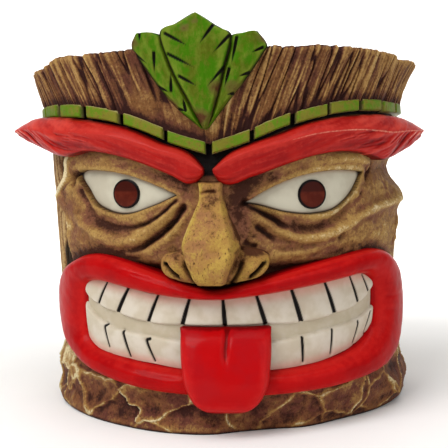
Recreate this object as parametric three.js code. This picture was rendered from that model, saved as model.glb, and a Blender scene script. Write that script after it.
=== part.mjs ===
import * as THREE from "three";

// A tiki mug: a round drinking cup clad in carved relief, with a grinning face in front.
// Millimetres, +Z up. The origin is the centre of the standing face, and the face looks along -Y.
// Relief is laid out on a cylinder as [azimuth, height]: azimuth in degrees from the front,
// positive towards +X, and a radius gives the third coordinate. Left and right are as seen
// by someone who faces the mug.

const GAP = 0.3; // between pieces that meet edge to edge
const SEAT = 0.45; // between a relief piece and the surface that it sits on

// Cup: the hollow body that holds the drink.
const RIM_HEIGHT = 93.5;
const CUP_RADIUS = 42.5;
const CUP_RIM_RADIUS = 49.5;
const CUP_WALL = 3.2;
const CUP_FLOOR = 7;
const CUP_FLARE_START = 76;
const CUP_FILLET = 6;

// Carved body: radius at the waist, and how far its axis leans towards +X at the floor.
const BODY_RADIUS = 50.2;
const LEAN_AT_FLOOR = 1.75;
const LEAN_PER_MM = 0.035;
const TEMPLE_DEPTH = 2.3; // hollow in the right temple, under the brow

// Crown of split wood, and the woven band under it.
const CROWN_RADIUS = 55;
const CROWN_ROOT_RADIUS = 51.7;
const CROWN_RIDGES = 36;
const CROWN_RIDGE_DEPTH = 0.5;
const BAND_HEIGHT = 3.1;
const BAND_THICKNESS = 1.8;
const BAND_SEGMENTS = 30;
// Azimuths of the uneven joints in front; the rest of the ring is divided evenly.
const BAND_FRONT_JOINTS = [-53, -39.8, -26.1, -12.9, -1.2, 10.4, 21.9, 33.2, 45.6, 57];
const BAND_SEGMENTS_BEFORE_FRONT = 11;
const BAND_JOIN = 1.2; // degrees left open between two segments
const BAND_LOW = 71.4; // top of the band at the point of its V, in front
const BAND_HIGH = 82.5; // top of the band round the sides and back
const BAND_POINT = -1; // azimuth of that point

// Stone foot.
const FOOT_TOP = 16;
const FOOT_RADIUS = 50.8;
const FOOT_SOLE_RADIUS = 49.6;
const FOOT_ROUNDING = 2.5;
const FOOT_SHOULDER = 2.2; // how much narrower the top is
const FOOT_SHOULDER_START = 9;
const FOOT_SWELL_ON_RIGHT = [[0, 0.8], [3, 1.4], [6.6, 0], [9.5, -1.6], [12.5, -1.7], [16, -1]];

// Face.
const MOUTH_FLOOR_RADIUS = 45.8;
const SOCKET_FLOOR_RADIUS = 45.9;
const EYE_THICKNESS = 2.2;
const IRIS_THICKNESS = 0.8;
const IRIS_HALF_WIDTH = 4.7; // degrees
const IRIS_HALF_HEIGHT = 3.65;
const TEETH_RADIUS = 50.8;
const LIP_FRONT_RADIUS = 54.6;
const TONGUE_RADIUS = 57;
const NOSE_TIP_RADIUS = 60;

const degrees = Math.PI / 180;
const lerp = (from, to, share) => from + (to - from) * share;
const clamp01 = (x) => Math.min(1, Math.max(0, x));
const ease = (x) => clamp01(x) ** 2 * (3 - 2 * clamp01(x));
const bell = (x) => Math.exp(-x * x);

// A smooth function through [x, y] knots, with x rising.
function through(knots) {
  const last = knots.length - 1;
  const slope = (i) => {
    const [x0, y0] = knots[Math.max(0, i - 1)];
    const [x1, y1] = knots[Math.min(last, i + 1)];
    return (y1 - y0) / (x1 - x0);
  };
  return (x) => {
    if (x <= knots[0][0]) return knots[0][1];
    if (x >= knots[last][0]) return knots[last][1];
    const i = knots.findIndex(([xk]) => xk > x) - 1;
    const [x0, y0] = knots[i];
    const [x1, y1] = knots[i + 1];
    const w = x1 - x0;
    const t = (x - x0) / w;
    const bend = (t - 1) ** 2 * t * w * slope(i) + t ** 2 * (t - 1) * w * slope(i + 1);
    return lerp(y0, y1, t * t * (3 - 2 * t)) + bend;
  };
}

// A closed skin between an outer and an inner sheet. Each sheet maps u, v in 0..1 to
// [azimuth, height, radius]; u runs towards +X and v upwards, as seen from outside.
// A ring joins its last column to its first.
function sheets(columns, rows, outer, inner, ring = false) {
  const across = ring ? columns : columns + 1;
  const positions = [];
  for (const sheet of [outer, inner]) {
    for (let j = 0; j <= rows; j++) {
      for (let i = 0; i < across; i++) {
        const [a, z, r] = sheet(i / columns, j / rows);
        positions.push(r * Math.sin(a * degrees), -r * Math.cos(a * degrees), z);
      }
    }
  }
  const face = (i, j) => j * across + (i % across);
  const back = (i, j) => (rows + 1) * across + face(i, j);
  const triangles = [];
  const quad = (a, b, c, d) => triangles.push(a, b, c, a, c, d);
  for (let i = 0; i < columns; i++) {
    for (let j = 0; j < rows; j++) {
      quad(face(i, j), face(i + 1, j), face(i + 1, j + 1), face(i, j + 1));
      quad(back(i, j), back(i, j + 1), back(i + 1, j + 1), back(i + 1, j));
    }
    quad(face(i + 1, 0), face(i, 0), back(i, 0), back(i + 1, 0));
    quad(face(i, rows), face(i + 1, rows), back(i + 1, rows), back(i, rows));
  }
  for (let j = 0; j < rows && !ring; j++) {
    quad(face(0, j), face(0, j + 1), back(0, j + 1), back(0, j));
    quad(face(columns, j + 1), face(columns, j), back(columns, j), back(columns, j + 1));
  }
  const geometry = new THREE.BufferGeometry();
  geometry.setAttribute("position", new THREE.Float32BufferAttribute(positions, 3));
  geometry.setIndex(triangles);
  geometry.computeVertexNormals();
  return geometry;
}

const mug = new THREE.Group();

function add(name, geometry, color, roughness, metalness = 0) {
  const material = new THREE.MeshStandardMaterial({ color, roughness, metalness });
  const mesh = new THREE.Mesh(geometry, material);
  mesh.name = name;
  mug.add(mesh);
}

const WOOD = "#8a7048";
const DARK_WOOD = "#6b4d3a";
const STONE = "#7d6546";
const GLAZE = "#4a3024";
const SKIN = "#94794a";
const GOLD_SKIN = "#a88a4c";
const RED = "#c41c1c";
const TOOTH = "#d8d2bd";
const EYE_WHITE = "#e6e0cf";
const IRIS = "#55201a";
const LEAF = "#5c8a22";
const BAND = "#7d9a2a";

// ---- Surfaces that several pieces share ----

const lean = (a, z) => (LEAN_AT_FLOOR - LEAN_PER_MM * z) * Math.sin(a * degrees);
const flare = (z) => ease((z - CUP_FLARE_START) / (RIM_HEIGHT - CUP_FLARE_START));
const cupOuter = (z) => lerp(CUP_RADIUS, CUP_RIM_RADIUS, flare(z));
const cladding = (z) => cupOuter(z) + GAP;

const halfTurn = (a) => (a > 180 ? a - 360 : a);
const bandRise = through([[0, 0], [10, 0.25], [20, 0.57], [31, 0.81], [42, 0.95], [56, 1]]);
const bandTop = (a) => lerp(BAND_LOW, BAND_HIGH, bandRise(Math.abs(halfTurn(a) - BAND_POINT)));

const roundRadius = (a, z) => BODY_RADIUS + lean(a, z) - 1.1 * bell((z - 30) / 14);

const bodyRadius = (a, z) => {
  const temple = bell((z - 67) / 5.5) * ease((halfTurn(a) - 50) / 20) * ease((118 - halfTurn(a)) / 30);
  return roundRadius(a, z) - TEMPLE_DEPTH * temple;
};

const swellOnRight = through(FOOT_SWELL_ON_RIGHT);

const footRadius = (a, z) => {
  const rounding = Math.sqrt(1 - (1 - clamp01(z / FOOT_ROUNDING)) ** 2);
  const shoulder = FOOT_SHOULDER * ease((z - FOOT_SHOULDER_START) / (FOOT_TOP - FOOT_SHOULDER_START));
  const shift = Math.min(1.4, 0.17 * z - 0.7);
  const onRight = ease((halfTurn(a) - 36) / 36) * ease((150 - halfTurn(a)) / 40);
  const plain = lerp(FOOT_SOLE_RADIUS, FOOT_RADIUS, rounding) - shoulder;
  return plain + shift * Math.sin(a * degrees) + swellOnRight(z) * onRight;
};

// How far inside a rounded oblong on the cylinder a point is: 1 at the middle, 0 outside.
const inOblong = (a, z, [a0, z0, halfWidth, halfHeight]) => {
  const distance = Math.cbrt(Math.abs((a - a0) / halfWidth) ** 3 + Math.abs((z - z0) / halfHeight) ** 3);
  return ease((1.25 - distance) / 0.35);
};

const SOCKET_LEFT = [-30, 59.3, 25, 8.2];
const SOCKET_RIGHT = [30, 59.2, 25, 8.6];
const MOUTH = [4.5, 27, 60, 15];

const faceRadius = (a, z) => {
  const cheeks = bell((a + 46) / 14) * bell((z - 50) / 8) + bell((a - 52) / 16) * bell((z - 52) / 9);
  const skin = bodyRadius(a, z) - 0.8 + cheeks;
  const socket = Math.max(inOblong(a, z, SOCKET_LEFT), inOblong(a, z, SOCKET_RIGHT));
  const socketed = lerp(skin, SOCKET_FLOOR_RADIUS, socket);
  return lerp(socketed, MOUTH_FLOOR_RADIUS, inOblong(a, z, MOUTH));
};

// The carved surface as a whole, for the pieces that lie across more than one part of it.
const coreRadius = (a, z) => {
  const bark = a < -50 || a > 62 ? bodyRadius(a, z) : 0;
  const stone = z < FOOT_TOP + 3 ? footRadius(a, Math.min(z, FOOT_TOP)) : 0;
  return Math.max(faceRadius(a, z), bark, stone);
};

// ---- Cup ----

function cup() {
  const wall = (z) => cupOuter(z) - CUP_WALL;
  const steps = 6;
  const profile = [new THREE.Vector2(0, 0)];
  profile.push(new THREE.Vector2(CUP_RADIUS - 1, 0), new THREE.Vector2(CUP_RADIUS, 1));
  for (let i = 0; i <= steps; i++) {
    const z = lerp(CUP_FLARE_START, RIM_HEIGHT - 1, i / steps);
    profile.push(new THREE.Vector2(cupOuter(z), z));
  }
  profile.push(new THREE.Vector2(CUP_RIM_RADIUS - CUP_WALL / 2, RIM_HEIGHT));
  for (let i = steps; i >= 0; i--) {
    const z = lerp(CUP_FLARE_START, RIM_HEIGHT - 1, i / steps);
    profile.push(new THREE.Vector2(wall(z), z));
  }
  for (let i = 0; i <= 4; i++) {
    const turnOver = (i / 4) * 90 * degrees;
    const r = CUP_RADIUS - CUP_WALL - CUP_FILLET * (1 - Math.cos(turnOver));
    profile.push(new THREE.Vector2(r, CUP_FLOOR + CUP_FILLET * (1 - Math.sin(turnOver))));
  }
  profile.push(new THREE.Vector2(0, CUP_FLOOR));
  return new THREE.LatheGeometry(profile, 40).rotateX(90 * degrees);
}

add("cup_body", cup(), GLAZE, 0.3);

// ---- Crown, band and leaves ----

const crownCrest = (a, z) => {
  const height = clamp01((z - bandTop(a)) / (RIM_HEIGHT - bandTop(a)));
  return lerp(CROWN_ROOT_RADIUS, CROWN_RADIUS, height) + 0.8 * lean(a, z);
};

const crownRadius = (a, z) => {
  const ridge = CROWN_RIDGE_DEPTH * Math.cos(a * CROWN_RIDGES * degrees);
  return crownCrest(a, z) - CROWN_RIDGE_DEPTH + ridge;
};

function crown() {
  const column = (u) => -180 + 360 * u;
  const level = (a, v) => lerp(bandTop(a) + GAP, RIM_HEIGHT, v);
  const outer = (u, v) => [column(u), level(column(u), v), crownRadius(column(u), level(column(u), v))];
  const inner = (u, v) => [column(u), level(column(u), v), cladding(level(column(u), v))];
  return sheets(CROWN_RIDGES * 2, 4, outer, inner, true);
}

add("bark_crown", crown(), DARK_WOOD, 0.7);

function bandSegment(start, end) {
  const place = (u, v, radius) => {
    const a = lerp(start, end, u);
    const z = bandTop(a) - BAND_HEIGHT * (1 - v);
    return [a, z, radius(a, z)];
  };
  const seat = (a, z) => roundRadius(a, z) + SEAT;
  const outer = (u, v) => place(u, v, (a, z) => seat(a, z) + BAND_THICKNESS);
  return sheets(3, 1, outer, (u, v) => place(u, v, seat));
}

function bandJoint(i) {
  const first = BAND_FRONT_JOINTS[0];
  const last = BAND_FRONT_JOINTS.at(-1);
  const inFront = BAND_FRONT_JOINTS.length - 1;
  const pitch = (360 - last + first) / (BAND_SEGMENTS - inFront);
  const k = i - BAND_SEGMENTS_BEFORE_FRONT;
  if (k < 0) return first + k * pitch;
  return k > inFront ? last + (k - inFront) * pitch : BAND_FRONT_JOINTS[k];
}

for (let i = 0; i < BAND_SEGMENTS; i++) {
  const name = `band_segment_${String(i + 1).padStart(2, "0")}`;
  const start = bandJoint(i) + BAND_JOIN / 2;
  add(name, bandSegment(start, bandJoint(i + 1) - BAND_JOIN / 2), BAND, 0.55);
}

// A leaf lies on the crown. Its two edges run from the lower tip to the upper tip.
function leaf(leftEdge, rightEdge, lift, thickness) {
  const left = new THREE.SplineCurve(leftEdge.map(([a, z]) => new THREE.Vector2(a, z)));
  const right = new THREE.SplineCurve(rightEdge.map(([a, z]) => new THREE.Vector2(a, z)));
  const place = (u, v, proud) => {
    const point = left.getPoint(v).lerp(right.getPoint(v), u);
    const ridge = 1 - Math.abs(2 * u - 1);
    const wood = crownCrest(point.x, Math.min(point.y, RIM_HEIGHT));
    return [point.x, point.y, wood + SEAT + lift + proud * (0.6 + 0.4 * ridge) * thickness];
  };
  return sheets(4, 8, (u, v) => place(u, v, 1), (u, v) => place(u, v, 0));
}

const CENTER_LEFT_EDGE = [[-2.4, 74.6], [-9.5, 87.8], [-11.7, 96.4], [-5.5, 99.6], [-3.8, 100.8]];
const CENTER_RIGHT_EDGE = [[-1.2, 74.6], [1.6, 83], [4.8, 94], [1.2, 98.4], [-2.8, 100.8]];
const SIDE_LEFT_EDGE = [[-3.3, 74.8], [-13.4, 84], [-20.3, 93], [-19.4, 97]];
const SIDE_LEFT_INNER = [[-2.9, 75], [-8, 84], [-11.4, 91.6], [-12.4, 96.6]];
const SIDE_RIGHT_INNER = [[-0.7, 75], [1.6, 81], [4, 88.4], [5.6, 95.6]];
const SIDE_RIGHT_EDGE = [[0, 74.8], [8.9, 85.6], [13.6, 92.6], [11.4, 96.6]];

add("leaf_center", leaf(CENTER_LEFT_EDGE, CENTER_RIGHT_EDGE, 0.6, 2.6), LEAF, 0.6);
add("leaf_left", leaf(SIDE_LEFT_EDGE, SIDE_LEFT_INNER, 0, 1.9), LEAF, 0.6);
add("leaf_right", leaf(SIDE_RIGHT_INNER, SIDE_RIGHT_EDGE, 0, 1.9), LEAF, 0.6);

// ---- Foot, trunk and face ----

function foot() {
  const sole = (u, v) => [-180 + 360 * u, FOOT_TOP * v, footRadius(-180 + 360 * u, FOOT_TOP * v)];
  const inner = (u, v) => [-180 + 360 * u, FOOT_TOP * v, cladding(FOOT_TOP * v)];
  return sheets(40, 4, sole, inner, true);
}

add("stone_foot", foot(), STONE, 0.75);

// The seams between face and trunk: azimuth against the share of the wall's height.
const seamLeft = through([[0, -57], [0.36, -55.5], [0.52, -58.5], [0.626, -64], [0.74, -56.5], [1, -52]]);
const seamRight = through([[0, 74], [0.35, 76], [0.6, 84], [0.8, 80], [1, 70]]);
const wallHeight = (a, v) => lerp(FOOT_TOP + GAP, bandTop(a) - GAP, v);

function arcWall(columns, rows, start, end, radius) {
  const place = (u, v, depth) => {
    const a = lerp(start(v), end(v), u);
    const z = wallHeight(a, v);
    return [a, z, depth(a, z)];
  };
  return sheets(columns, rows, (u, v) => place(u, v, radius), (u, v) => place(u, v, (a, z) => cladding(z)));
}

const SEAM_ROWS = 22;
const seamGap = GAP / BODY_RADIUS / degrees;
const trunkStart = (v) => seamRight(v) + seamGap;
const trunkEnd = (v) => 360 + seamLeft(v) - seamGap;

add("face_panel", arcWall(32, SEAM_ROWS, seamLeft, seamRight, faceRadius), SKIN, 0.7);
add("trunk_bark", arcWall(26, SEAM_ROWS, trunkStart, trunkEnd, bodyRadius), WOOD, 0.75);

// A relief strip between a lower and an upper edge, both heights against azimuth, seated on
// the carved surface. rise(u, v) is its thickness.
function strip(columns, rows, start, end, lower, upper, seat, rise) {
  const place = (u, v, thickness) => {
    const a = lerp(start, end, u);
    const z = lerp(lower(a), upper(a), v);
    return [a, z, seat(a, z) + thickness(u, v)];
  };
  return sheets(columns, rows, (u, v) => place(u, v, rise), (u, v) => place(u, v, () => 0));
}

const seated = (a, z) => coreRadius(a, z) + SEAT;
const rounded = (v, edge = 0.5) => lerp(edge, 1, Math.sqrt(1 - (2 * v - 1) ** 2));

// ---- Brows ----

const BROW_LEFT_TIP = -80.5;
const BROW_LEFT_END = -2.8;
const BROW_RIGHT_END = 0.4;
const BROW_RIGHT_TIP = 82;

const browSeat = (a, z) => BODY_RADIUS + lean(a, z) + 0.9;
const browLeftUpper = through([
  [BROW_LEFT_TIP, 76.6], [-69, 78.8], [-51, 78.6], [-37, 77.2], [-24.2, 75.1], [-15, 71.7],
  [BROW_LEFT_END, 66],
]);
const browLeftLower = through([
  [BROW_LEFT_TIP, 75.2], [-66, 71.7], [-57.6, 70.1], [-49, 68.6], [-40, 69.6], [-28.7, 68.6], [-19.5, 66.3],
  [-6.3, 61.8], [BROW_LEFT_END, 62.6],
]);
const browRightUpper = through([
  [BROW_RIGHT_END, 65.8], [10.4, 71.1], [18, 73.3], [26.1, 75.8], [35.3, 77.3], [46.3, 78.2],
  [63.2, 78.4], [BROW_RIGHT_TIP, 76.3],
]);
const browRightLower = through([
  [BROW_RIGHT_END, 62.6], [2.5, 61.8], [10.3, 62.9], [18.1, 65.3], [26.4, 67.5], [35.6, 68.8],
  [43.9, 68.6], [55.3, 66.8], [65.1, 68.6], [BROW_RIGHT_TIP, 73.4],
]);
const browLeftRise = (u, v) => lerp(5.2, 3.6, ease(u * 1.4)) * rounded(v) + 4.8 * (1 - u) ** 5;
const browRightRise = (u, v) => lerp(3.6, 3.9, u) * rounded(v) + 3.2 * u ** 5;

function brow(start, end, lower, upper, rise) {
  return strip(20, 4, start, end, lower, upper, browSeat, rise);
}

const browLeft = brow(BROW_LEFT_TIP, BROW_LEFT_END, browLeftLower, browLeftUpper, browLeftRise);
const browRight = brow(BROW_RIGHT_END, BROW_RIGHT_TIP, browRightLower, browRightUpper, browRightRise);

add("brow_left", browLeft, RED, 0.4);
add("brow_right", browRight, RED, 0.4);

// ---- Eyes ----

const lidsLeft = {
  outer: -47.6,
  inner: -11.2,
  upper: through([[-47.6, 64.2], [-39, 64.9], [-34.4, 64.7], [-26.5, 63.7], [-16.4, 60.9], [-11.2, 59.1]]),
  lower: through([[-47.6, 63.3], [-43.2, 59.8], [-40, 57], [-34.7, 54.8], [-28, 54], [-11.2, 58.4]]),
};
const lidsRight = {
  outer: 47.8,
  inner: 9.2,
  upper: through([[9.2, 57.2], [14.6, 59.7], [23.9, 62.7], [34.2, 64.1], [42, 64.2], [47.8, 63.8]]),
  lower: through([[9.2, 56.6], [20.7, 54.2], [29.5, 53.6], [39.3, 55.6], [44.5, 59.1], [47.8, 62.8]]),
};

function eye({ outer, inner, upper, lower }) {
  const seat = () => SOCKET_FLOOR_RADIUS + SEAT;
  const [start, end] = [Math.min(outer, inner), Math.max(outer, inner)];
  return strip(12, 4, start, end, lower, upper, seat, (u, v) => EYE_THICKNESS * rounded(v, 0.7));
}

function iris(azimuth, height) {
  const aside = (a) => (a - azimuth) / IRIS_HALF_WIDTH;
  const half = (a) => IRIS_HALF_HEIGHT * Math.sqrt(Math.max(0.02, 1 - aside(a) ** 2));
  const [lower, upper] = [(a) => height - half(a), (a) => height + half(a)];
  const seat = () => SOCKET_FLOOR_RADIUS + SEAT + EYE_THICKNESS + GAP;
  const [start, end] = [azimuth - IRIS_HALF_WIDTH, azimuth + IRIS_HALF_WIDTH];
  return strip(12, 2, start, end, lower, upper, seat, () => IRIS_THICKNESS);
}

add("eye_left", eye(lidsLeft), EYE_WHITE, 0.35);
add("eye_right", eye(lidsRight), EYE_WHITE, 0.35);
add("iris_left", iris(-27.2, 59), IRIS, 0.3);
add("iris_right", iris(28.9, 58.4), IRIS, 0.3);

// ---- Nose ----

const NOSE_FOOT = 37;
const NOSE_BRIDGE = 61;

// Edges of the nose: azimuth against height.
const noseLeft = through([
  [NOSE_FOOT, -3.6], [38.6, -8], [39.8, -12.2], [41.5, -15.4], [43.2, -15.2], [45.1, -11],
  [48, -9.2], [51.4, -7.5], [54.7, -5.8], [57.6, -4.6], [NOSE_BRIDGE, -4.2],
]);
const noseRight = through([
  [NOSE_FOOT, 4], [38.8, 8.5], [40.2, 12.5], [42.9, 15.4], [44.6, 14.8], [45.8, 11.2],
  [48.6, 8], [51, 6.5], [54, 4.7], [57.5, 3.3], [NOSE_BRIDGE, 2.6],
]);
const noseTop = through([
  [NOSE_FOOT, 54.5], [39.5, 58.5], [43, NOSE_TIP_RADIUS], [48, 58], [55, 54.4], [NOSE_BRIDGE, 52.8],
]);

function nose() {
  const place = (u, v, radius) => {
    const z = lerp(NOSE_FOOT, NOSE_BRIDGE, v);
    const a = lerp(noseLeft(z), noseRight(z), u);
    return [a, z, radius(a, z, u)];
  };
  const noseSeat = (a, z) => seated(a, z) + 0.3;
  const edge = (a, z) => noseSeat(a, z) + 1.2;
  const ridge = (u) => Math.sqrt(1 - Math.abs(2 * u - 1) ** 2.4);
  const outer = (a, z, u) => lerp(edge(a, z), noseTop(z), ridge(u));
  return sheets(10, 12, (u, v) => place(u, v, outer), (u, v) => place(u, v, noseSeat));
}

add("nose", nose(), GOLD_SKIN, 0.65);

// ---- Mouth ----

// The two edges of the lips, corner for corner, anticlockwise from the right corner.
const LIPS_OUTER_EDGE = [
  [74, 28], [69.5, 37], [59.5, 42.3], [50, 43.9], [38, 42.9], [27.4, 41.2], [10.4, 37.8], [-1, 35.7],
  [-14.7, 39.4], [-29.8, 43.2], [-40, 43.6], [-50, 41.2], [-60, 37.4], [-67, 32.6], [-68.5, 27], [-63, 20.6],
  [-53, 16.5], [-44, 13.6], [-21.8, 10.7], [2, 9.6], [26.9, 10.1], [45, 11.3], [58, 12.8], [68, 17.4],
];
const LIPS_INNER_EDGE = [
  [52, 29], [51.4, 34.6], [48.4, 37], [44, 37.3], [36, 36.6], [27.4, 35.7], [10.4, 33.9], [-1, 33.2],
  [-13, 33.7], [-26.4, 35.3], [-33, 36.2], [-38.6, 36.5], [-42, 35.6], [-43.3, 32], [-43.4, 27], [-42.6, 22],
  [-38.5, 19.3], [-31, 18.1], [-16, 16.6], [2, 15.6], [22, 15.9], [36, 17.5], [45, 20], [50.8, 23.6],
];
const MOUTH_MIDDLE = 4; // azimuth
const MOUTH_HALF_WIDTH = 68;
const TONGUE_MIDDLE = 2.7;
const TONGUE_FOOT = 5.6;
const TONGUE_ROOT = 26.6;

const closedCurve = (corners) =>
  new THREE.CatmullRomCurve3(corners.map(([a, z]) => new THREE.Vector3(a, z, 0)), true);

const lipFront = (a, z) => {
  const aside = (a > MOUTH_MIDDLE ? 2.1 : 3) * ((a - MOUTH_MIDDLE) / MOUTH_HALF_WIDTH) ** 2;
  const pressed = 1.8 * bell(((a - TONGUE_MIDDLE) / 19) ** 2) * ease((22 - z) / 4);
  return LIP_FRONT_RADIUS - aside - pressed + 0.7 * lean(a, z);
};

const lipSeat = (a, z) => seated(a, z) + 0.6;

function lips() {
  const outerEdge = closedCurve(LIPS_OUTER_EDGE);
  const innerEdge = closedCurve(LIPS_INNER_EDGE);
  const place = (u, v, radius) => {
    const point = outerEdge.getPoint(u % 1).lerp(innerEdge.getPoint(u % 1), v);
    return [point.x, point.y, radius(point.x, point.y, v)];
  };
  const outer = (a, z, v) => {
    const edge = lerp(seated(a, z) + 0.9, 49.8, ease(v));
    return lerp(edge, lipFront(a, z), Math.max(0, Math.sin(Math.PI * v)) ** 0.55);
  };
  const columns = LIPS_OUTER_EDGE.length * 3;
  return sheets(columns, 5, (u, v) => place(u, v, outer), (u, v) => place(u, v, lipSeat), true);
}

add("lips", lips(), RED, 0.25);

const TEETH_LEFT = -42.2;
const TEETH_RIGHT = 50.6;

// Edges of the two rows of teeth, downwards: height against azimuth.
const upperGum = through([
  [TEETH_LEFT, 34.2], [-40.5, 35.4], [-36, 35.8], [-26.4, 34.7], [-17.5, 33.3], [2.4, 32.7],
  [10.4, 33.3], [27.4, 35.1], [40, 36.4], [46, 36.6], [TEETH_RIGHT, 34.4],
]);
const upperBite = through([
  [TEETH_LEFT, 32.2], [-38, 30.5], [-30.2, 29], [-19.7, 27.4], [2.4, 27.1], [24.2, 27],
  [35.9, 28.4], [45, 30], [TEETH_RIGHT, 32.4],
]);
const lowerBite = through([
  [TEETH_LEFT, 29.6], [-40, 28.1], [-35.9, 26], [-28.1, 24.5], [-18.6, 23.9], [-10, 23],
  [16, 22.7], [24.2, 23.5], [34.4, 24.7], [44.6, 26], [TEETH_RIGHT, 27.8],
]);
const lowerGum = through([
  [TEETH_LEFT, 24], [-38.5, 20.6], [-31, 19.1], [-16, 17.6], [2, 16.6], [15.9, 16.6],
  [22, 16.9], [36, 18.6], [45, 21.2], [TEETH_RIGHT, 25],
]);

function teeth(columns, start, end, lower, upper) {
  const seat = () => MOUTH_FLOOR_RADIUS + SEAT;
  const rise = (u, v) => (TEETH_RADIUS - MOUTH_FLOOR_RADIUS - SEAT) * rounded(v, 0.85);
  return strip(columns, 4, start, end, lower, upper, seat, rise);
}

const TEETH_BESIDE_TONGUE = [-10.6, 16];

add("upper_teeth", teeth(28, TEETH_LEFT, TEETH_RIGHT, upperBite, upperGum), TOOTH, 0.3);
add("lower_teeth_left", teeth(10, TEETH_LEFT, TEETH_BESIDE_TONGUE[0], lowerGum, lowerBite), TOOTH, 0.3);
add("lower_teeth_right", teeth(12, TEETH_BESIDE_TONGUE[1], TEETH_RIGHT, lowerGum, lowerBite), TOOTH, 0.3);

// Tongue: half width in degrees, front and seat, against height.
const tongueHalfWidth = through([
  [TONGUE_FOOT, 3], [6.8, 6.2], [8.2, 8.3], [11, 10.3], [17.6, 11.9], [TONGUE_ROOT, 12.4],
]);
const tongueTop = through([
  [TONGUE_FOOT, 55.2], [8, TONGUE_RADIUS], [15.5, TONGUE_RADIUS], [20.5, 55.4], [TONGUE_ROOT, 52.4],
]);
const tongueSeat = through([[TONGUE_FOOT, 53.6], [16.4, 53.6], [19.5, 51.4], [TONGUE_ROOT, 50.6]]);

function tongue() {
  const place = (u, v, radius) => {
    const z = lerp(TONGUE_FOOT, TONGUE_ROOT, v);
    const a = TONGUE_MIDDLE + tongueHalfWidth(z) * (2 * u - 1);
    return [a, z, radius(z, u)];
  };
  const crowned = (z, u) => lerp(tongueSeat(z) + 1, tongueTop(z), Math.sqrt(1 - (2 * u - 1) ** 4));
  return sheets(8, 10, (u, v) => place(u, v, crowned), (u, v) => place(u, v, tongueSeat));
}

add("tongue", tongue(), RED, 0.3);

export default mug;
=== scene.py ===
import math

import bpy
import numpy as np
from mathutils import Matrix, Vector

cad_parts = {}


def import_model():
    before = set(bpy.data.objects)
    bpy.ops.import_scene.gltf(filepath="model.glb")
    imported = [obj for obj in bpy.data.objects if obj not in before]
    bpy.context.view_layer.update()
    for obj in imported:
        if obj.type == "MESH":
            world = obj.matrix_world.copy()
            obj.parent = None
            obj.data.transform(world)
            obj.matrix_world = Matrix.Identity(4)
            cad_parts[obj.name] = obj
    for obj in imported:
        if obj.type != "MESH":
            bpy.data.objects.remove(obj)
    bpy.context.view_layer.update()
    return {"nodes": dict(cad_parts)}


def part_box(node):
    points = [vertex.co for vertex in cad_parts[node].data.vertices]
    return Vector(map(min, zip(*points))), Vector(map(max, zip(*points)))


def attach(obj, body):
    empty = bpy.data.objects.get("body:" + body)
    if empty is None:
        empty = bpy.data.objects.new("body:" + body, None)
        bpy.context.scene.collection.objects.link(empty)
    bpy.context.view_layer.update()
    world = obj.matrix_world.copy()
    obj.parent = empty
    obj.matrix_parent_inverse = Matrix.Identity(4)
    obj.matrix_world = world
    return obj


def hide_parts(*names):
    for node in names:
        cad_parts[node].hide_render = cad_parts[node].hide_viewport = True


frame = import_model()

# A hand-painted tiki mug. Shapes are laid out on a cylinder, as in the CAD model: azimuth in
# degrees from the front (towards +X), height and radius in millimetres. Every surface is a
# sheet of radius against azimuth and height, closed by a plain back. Left and right are as
# seen by someone who faces the mug.

MM = 0.001
ARC = 0.88  # millimetres of surface to a degree, near enough for distances between features


def top_of(node):
    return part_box(node)[1][2] / MM


RIM = top_of("cup_body")
FOOT_TOP = top_of("stone_foot")
WAIST = 50.2  # radius of the trunk
LEAN_AT_FLOOR, LEAN_PER_MM = 1.75, 0.035

CUP_WALL = 3.2
CUP_FLOOR = 7
BAND_LOW, BAND_HIGH = 71.4, 82.5  # the band's upper edge at its point and round the rest
BAND_POINT = -1.0  # azimuth
BAND_WIDTH = 3.1
BAND_FRONT_JOINTS = [-53, -39.8, -26.1, -12.9, -1.2, 10.4, 21.9, 33.2, 45.6, 57]
BAND_BLOCKS = sum(1 for node in frame["nodes"] if node.startswith("band_segment_"))
BAND_BLOCKS_BEFORE_FRONT = 11
SOCKET_FLOOR, EYE_RADIUS, IRIS_RADIUS = 46.0, 48.1, 49.3
MOUTH_FLOOR, GROOVE_RADIUS, TOOTH_RADIUS, LIP_RADIUS = 46.2, 50.0, 51.0, 54.6
BACK_ROWS = 4  # rows of the plain back that closes a sheet

# ---------------------------------------------------------------- numbers and noise


def ease(x):
    x = np.clip(x, 0, 1)
    return x * x * (3 - 2 * x)


def bell(x):
    return np.exp(-x * x)


def rounded(x):
    """Rises from 0 at 0 to 1 at 1, like a quarter of a circle."""
    return np.sqrt(np.clip(1 - (1 - np.clip(x, 0, 1)) ** 2, 0, 1))


def window(x, low, rise, high, fall):
    """0 outside low to high, 1 well inside, easing over rise at the low end and fall at the high."""
    return ease((x - low) / rise) * ease((high - x) / fall)


def mix(a, b, share):
    return a + (b - a) * share


def rad(a):
    return np.radians(a)


def wrapped(a):
    """An azimuth brought to -180 to 180."""
    return (a + 180) % 360 - 180


def through(knots, x):
    """A smooth curve through [x, y] knots, with x rising, at each x."""
    xs, ys = np.array(knots, float).T
    slopes = np.gradient(ys, xs)
    x = np.clip(x, xs[0], xs[-1])
    i = np.clip(np.searchsorted(xs, x, side="right") - 1, 0, len(xs) - 2)
    w = xs[i + 1] - xs[i]
    t = (x - xs[i]) / w
    bend = (t - 1) ** 2 * t * w * slopes[i] + t**2 * (t - 1) * w * slopes[i + 1]
    return mix(ys[i], ys[i + 1], t * t * (3 - 2 * t)) + bend


def hashed(ix, iy, iz, seed):
    n = (ix * 73856093) ^ (iy * 19349663) ^ (iz * 83492791) ^ (seed * 2654435761)
    n = (n ^ (n >> 13)) * 1274126177 & 0xFFFFFFFF
    return ((n ^ (n >> 16)) & 0xFFFF) / 65535.0


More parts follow.
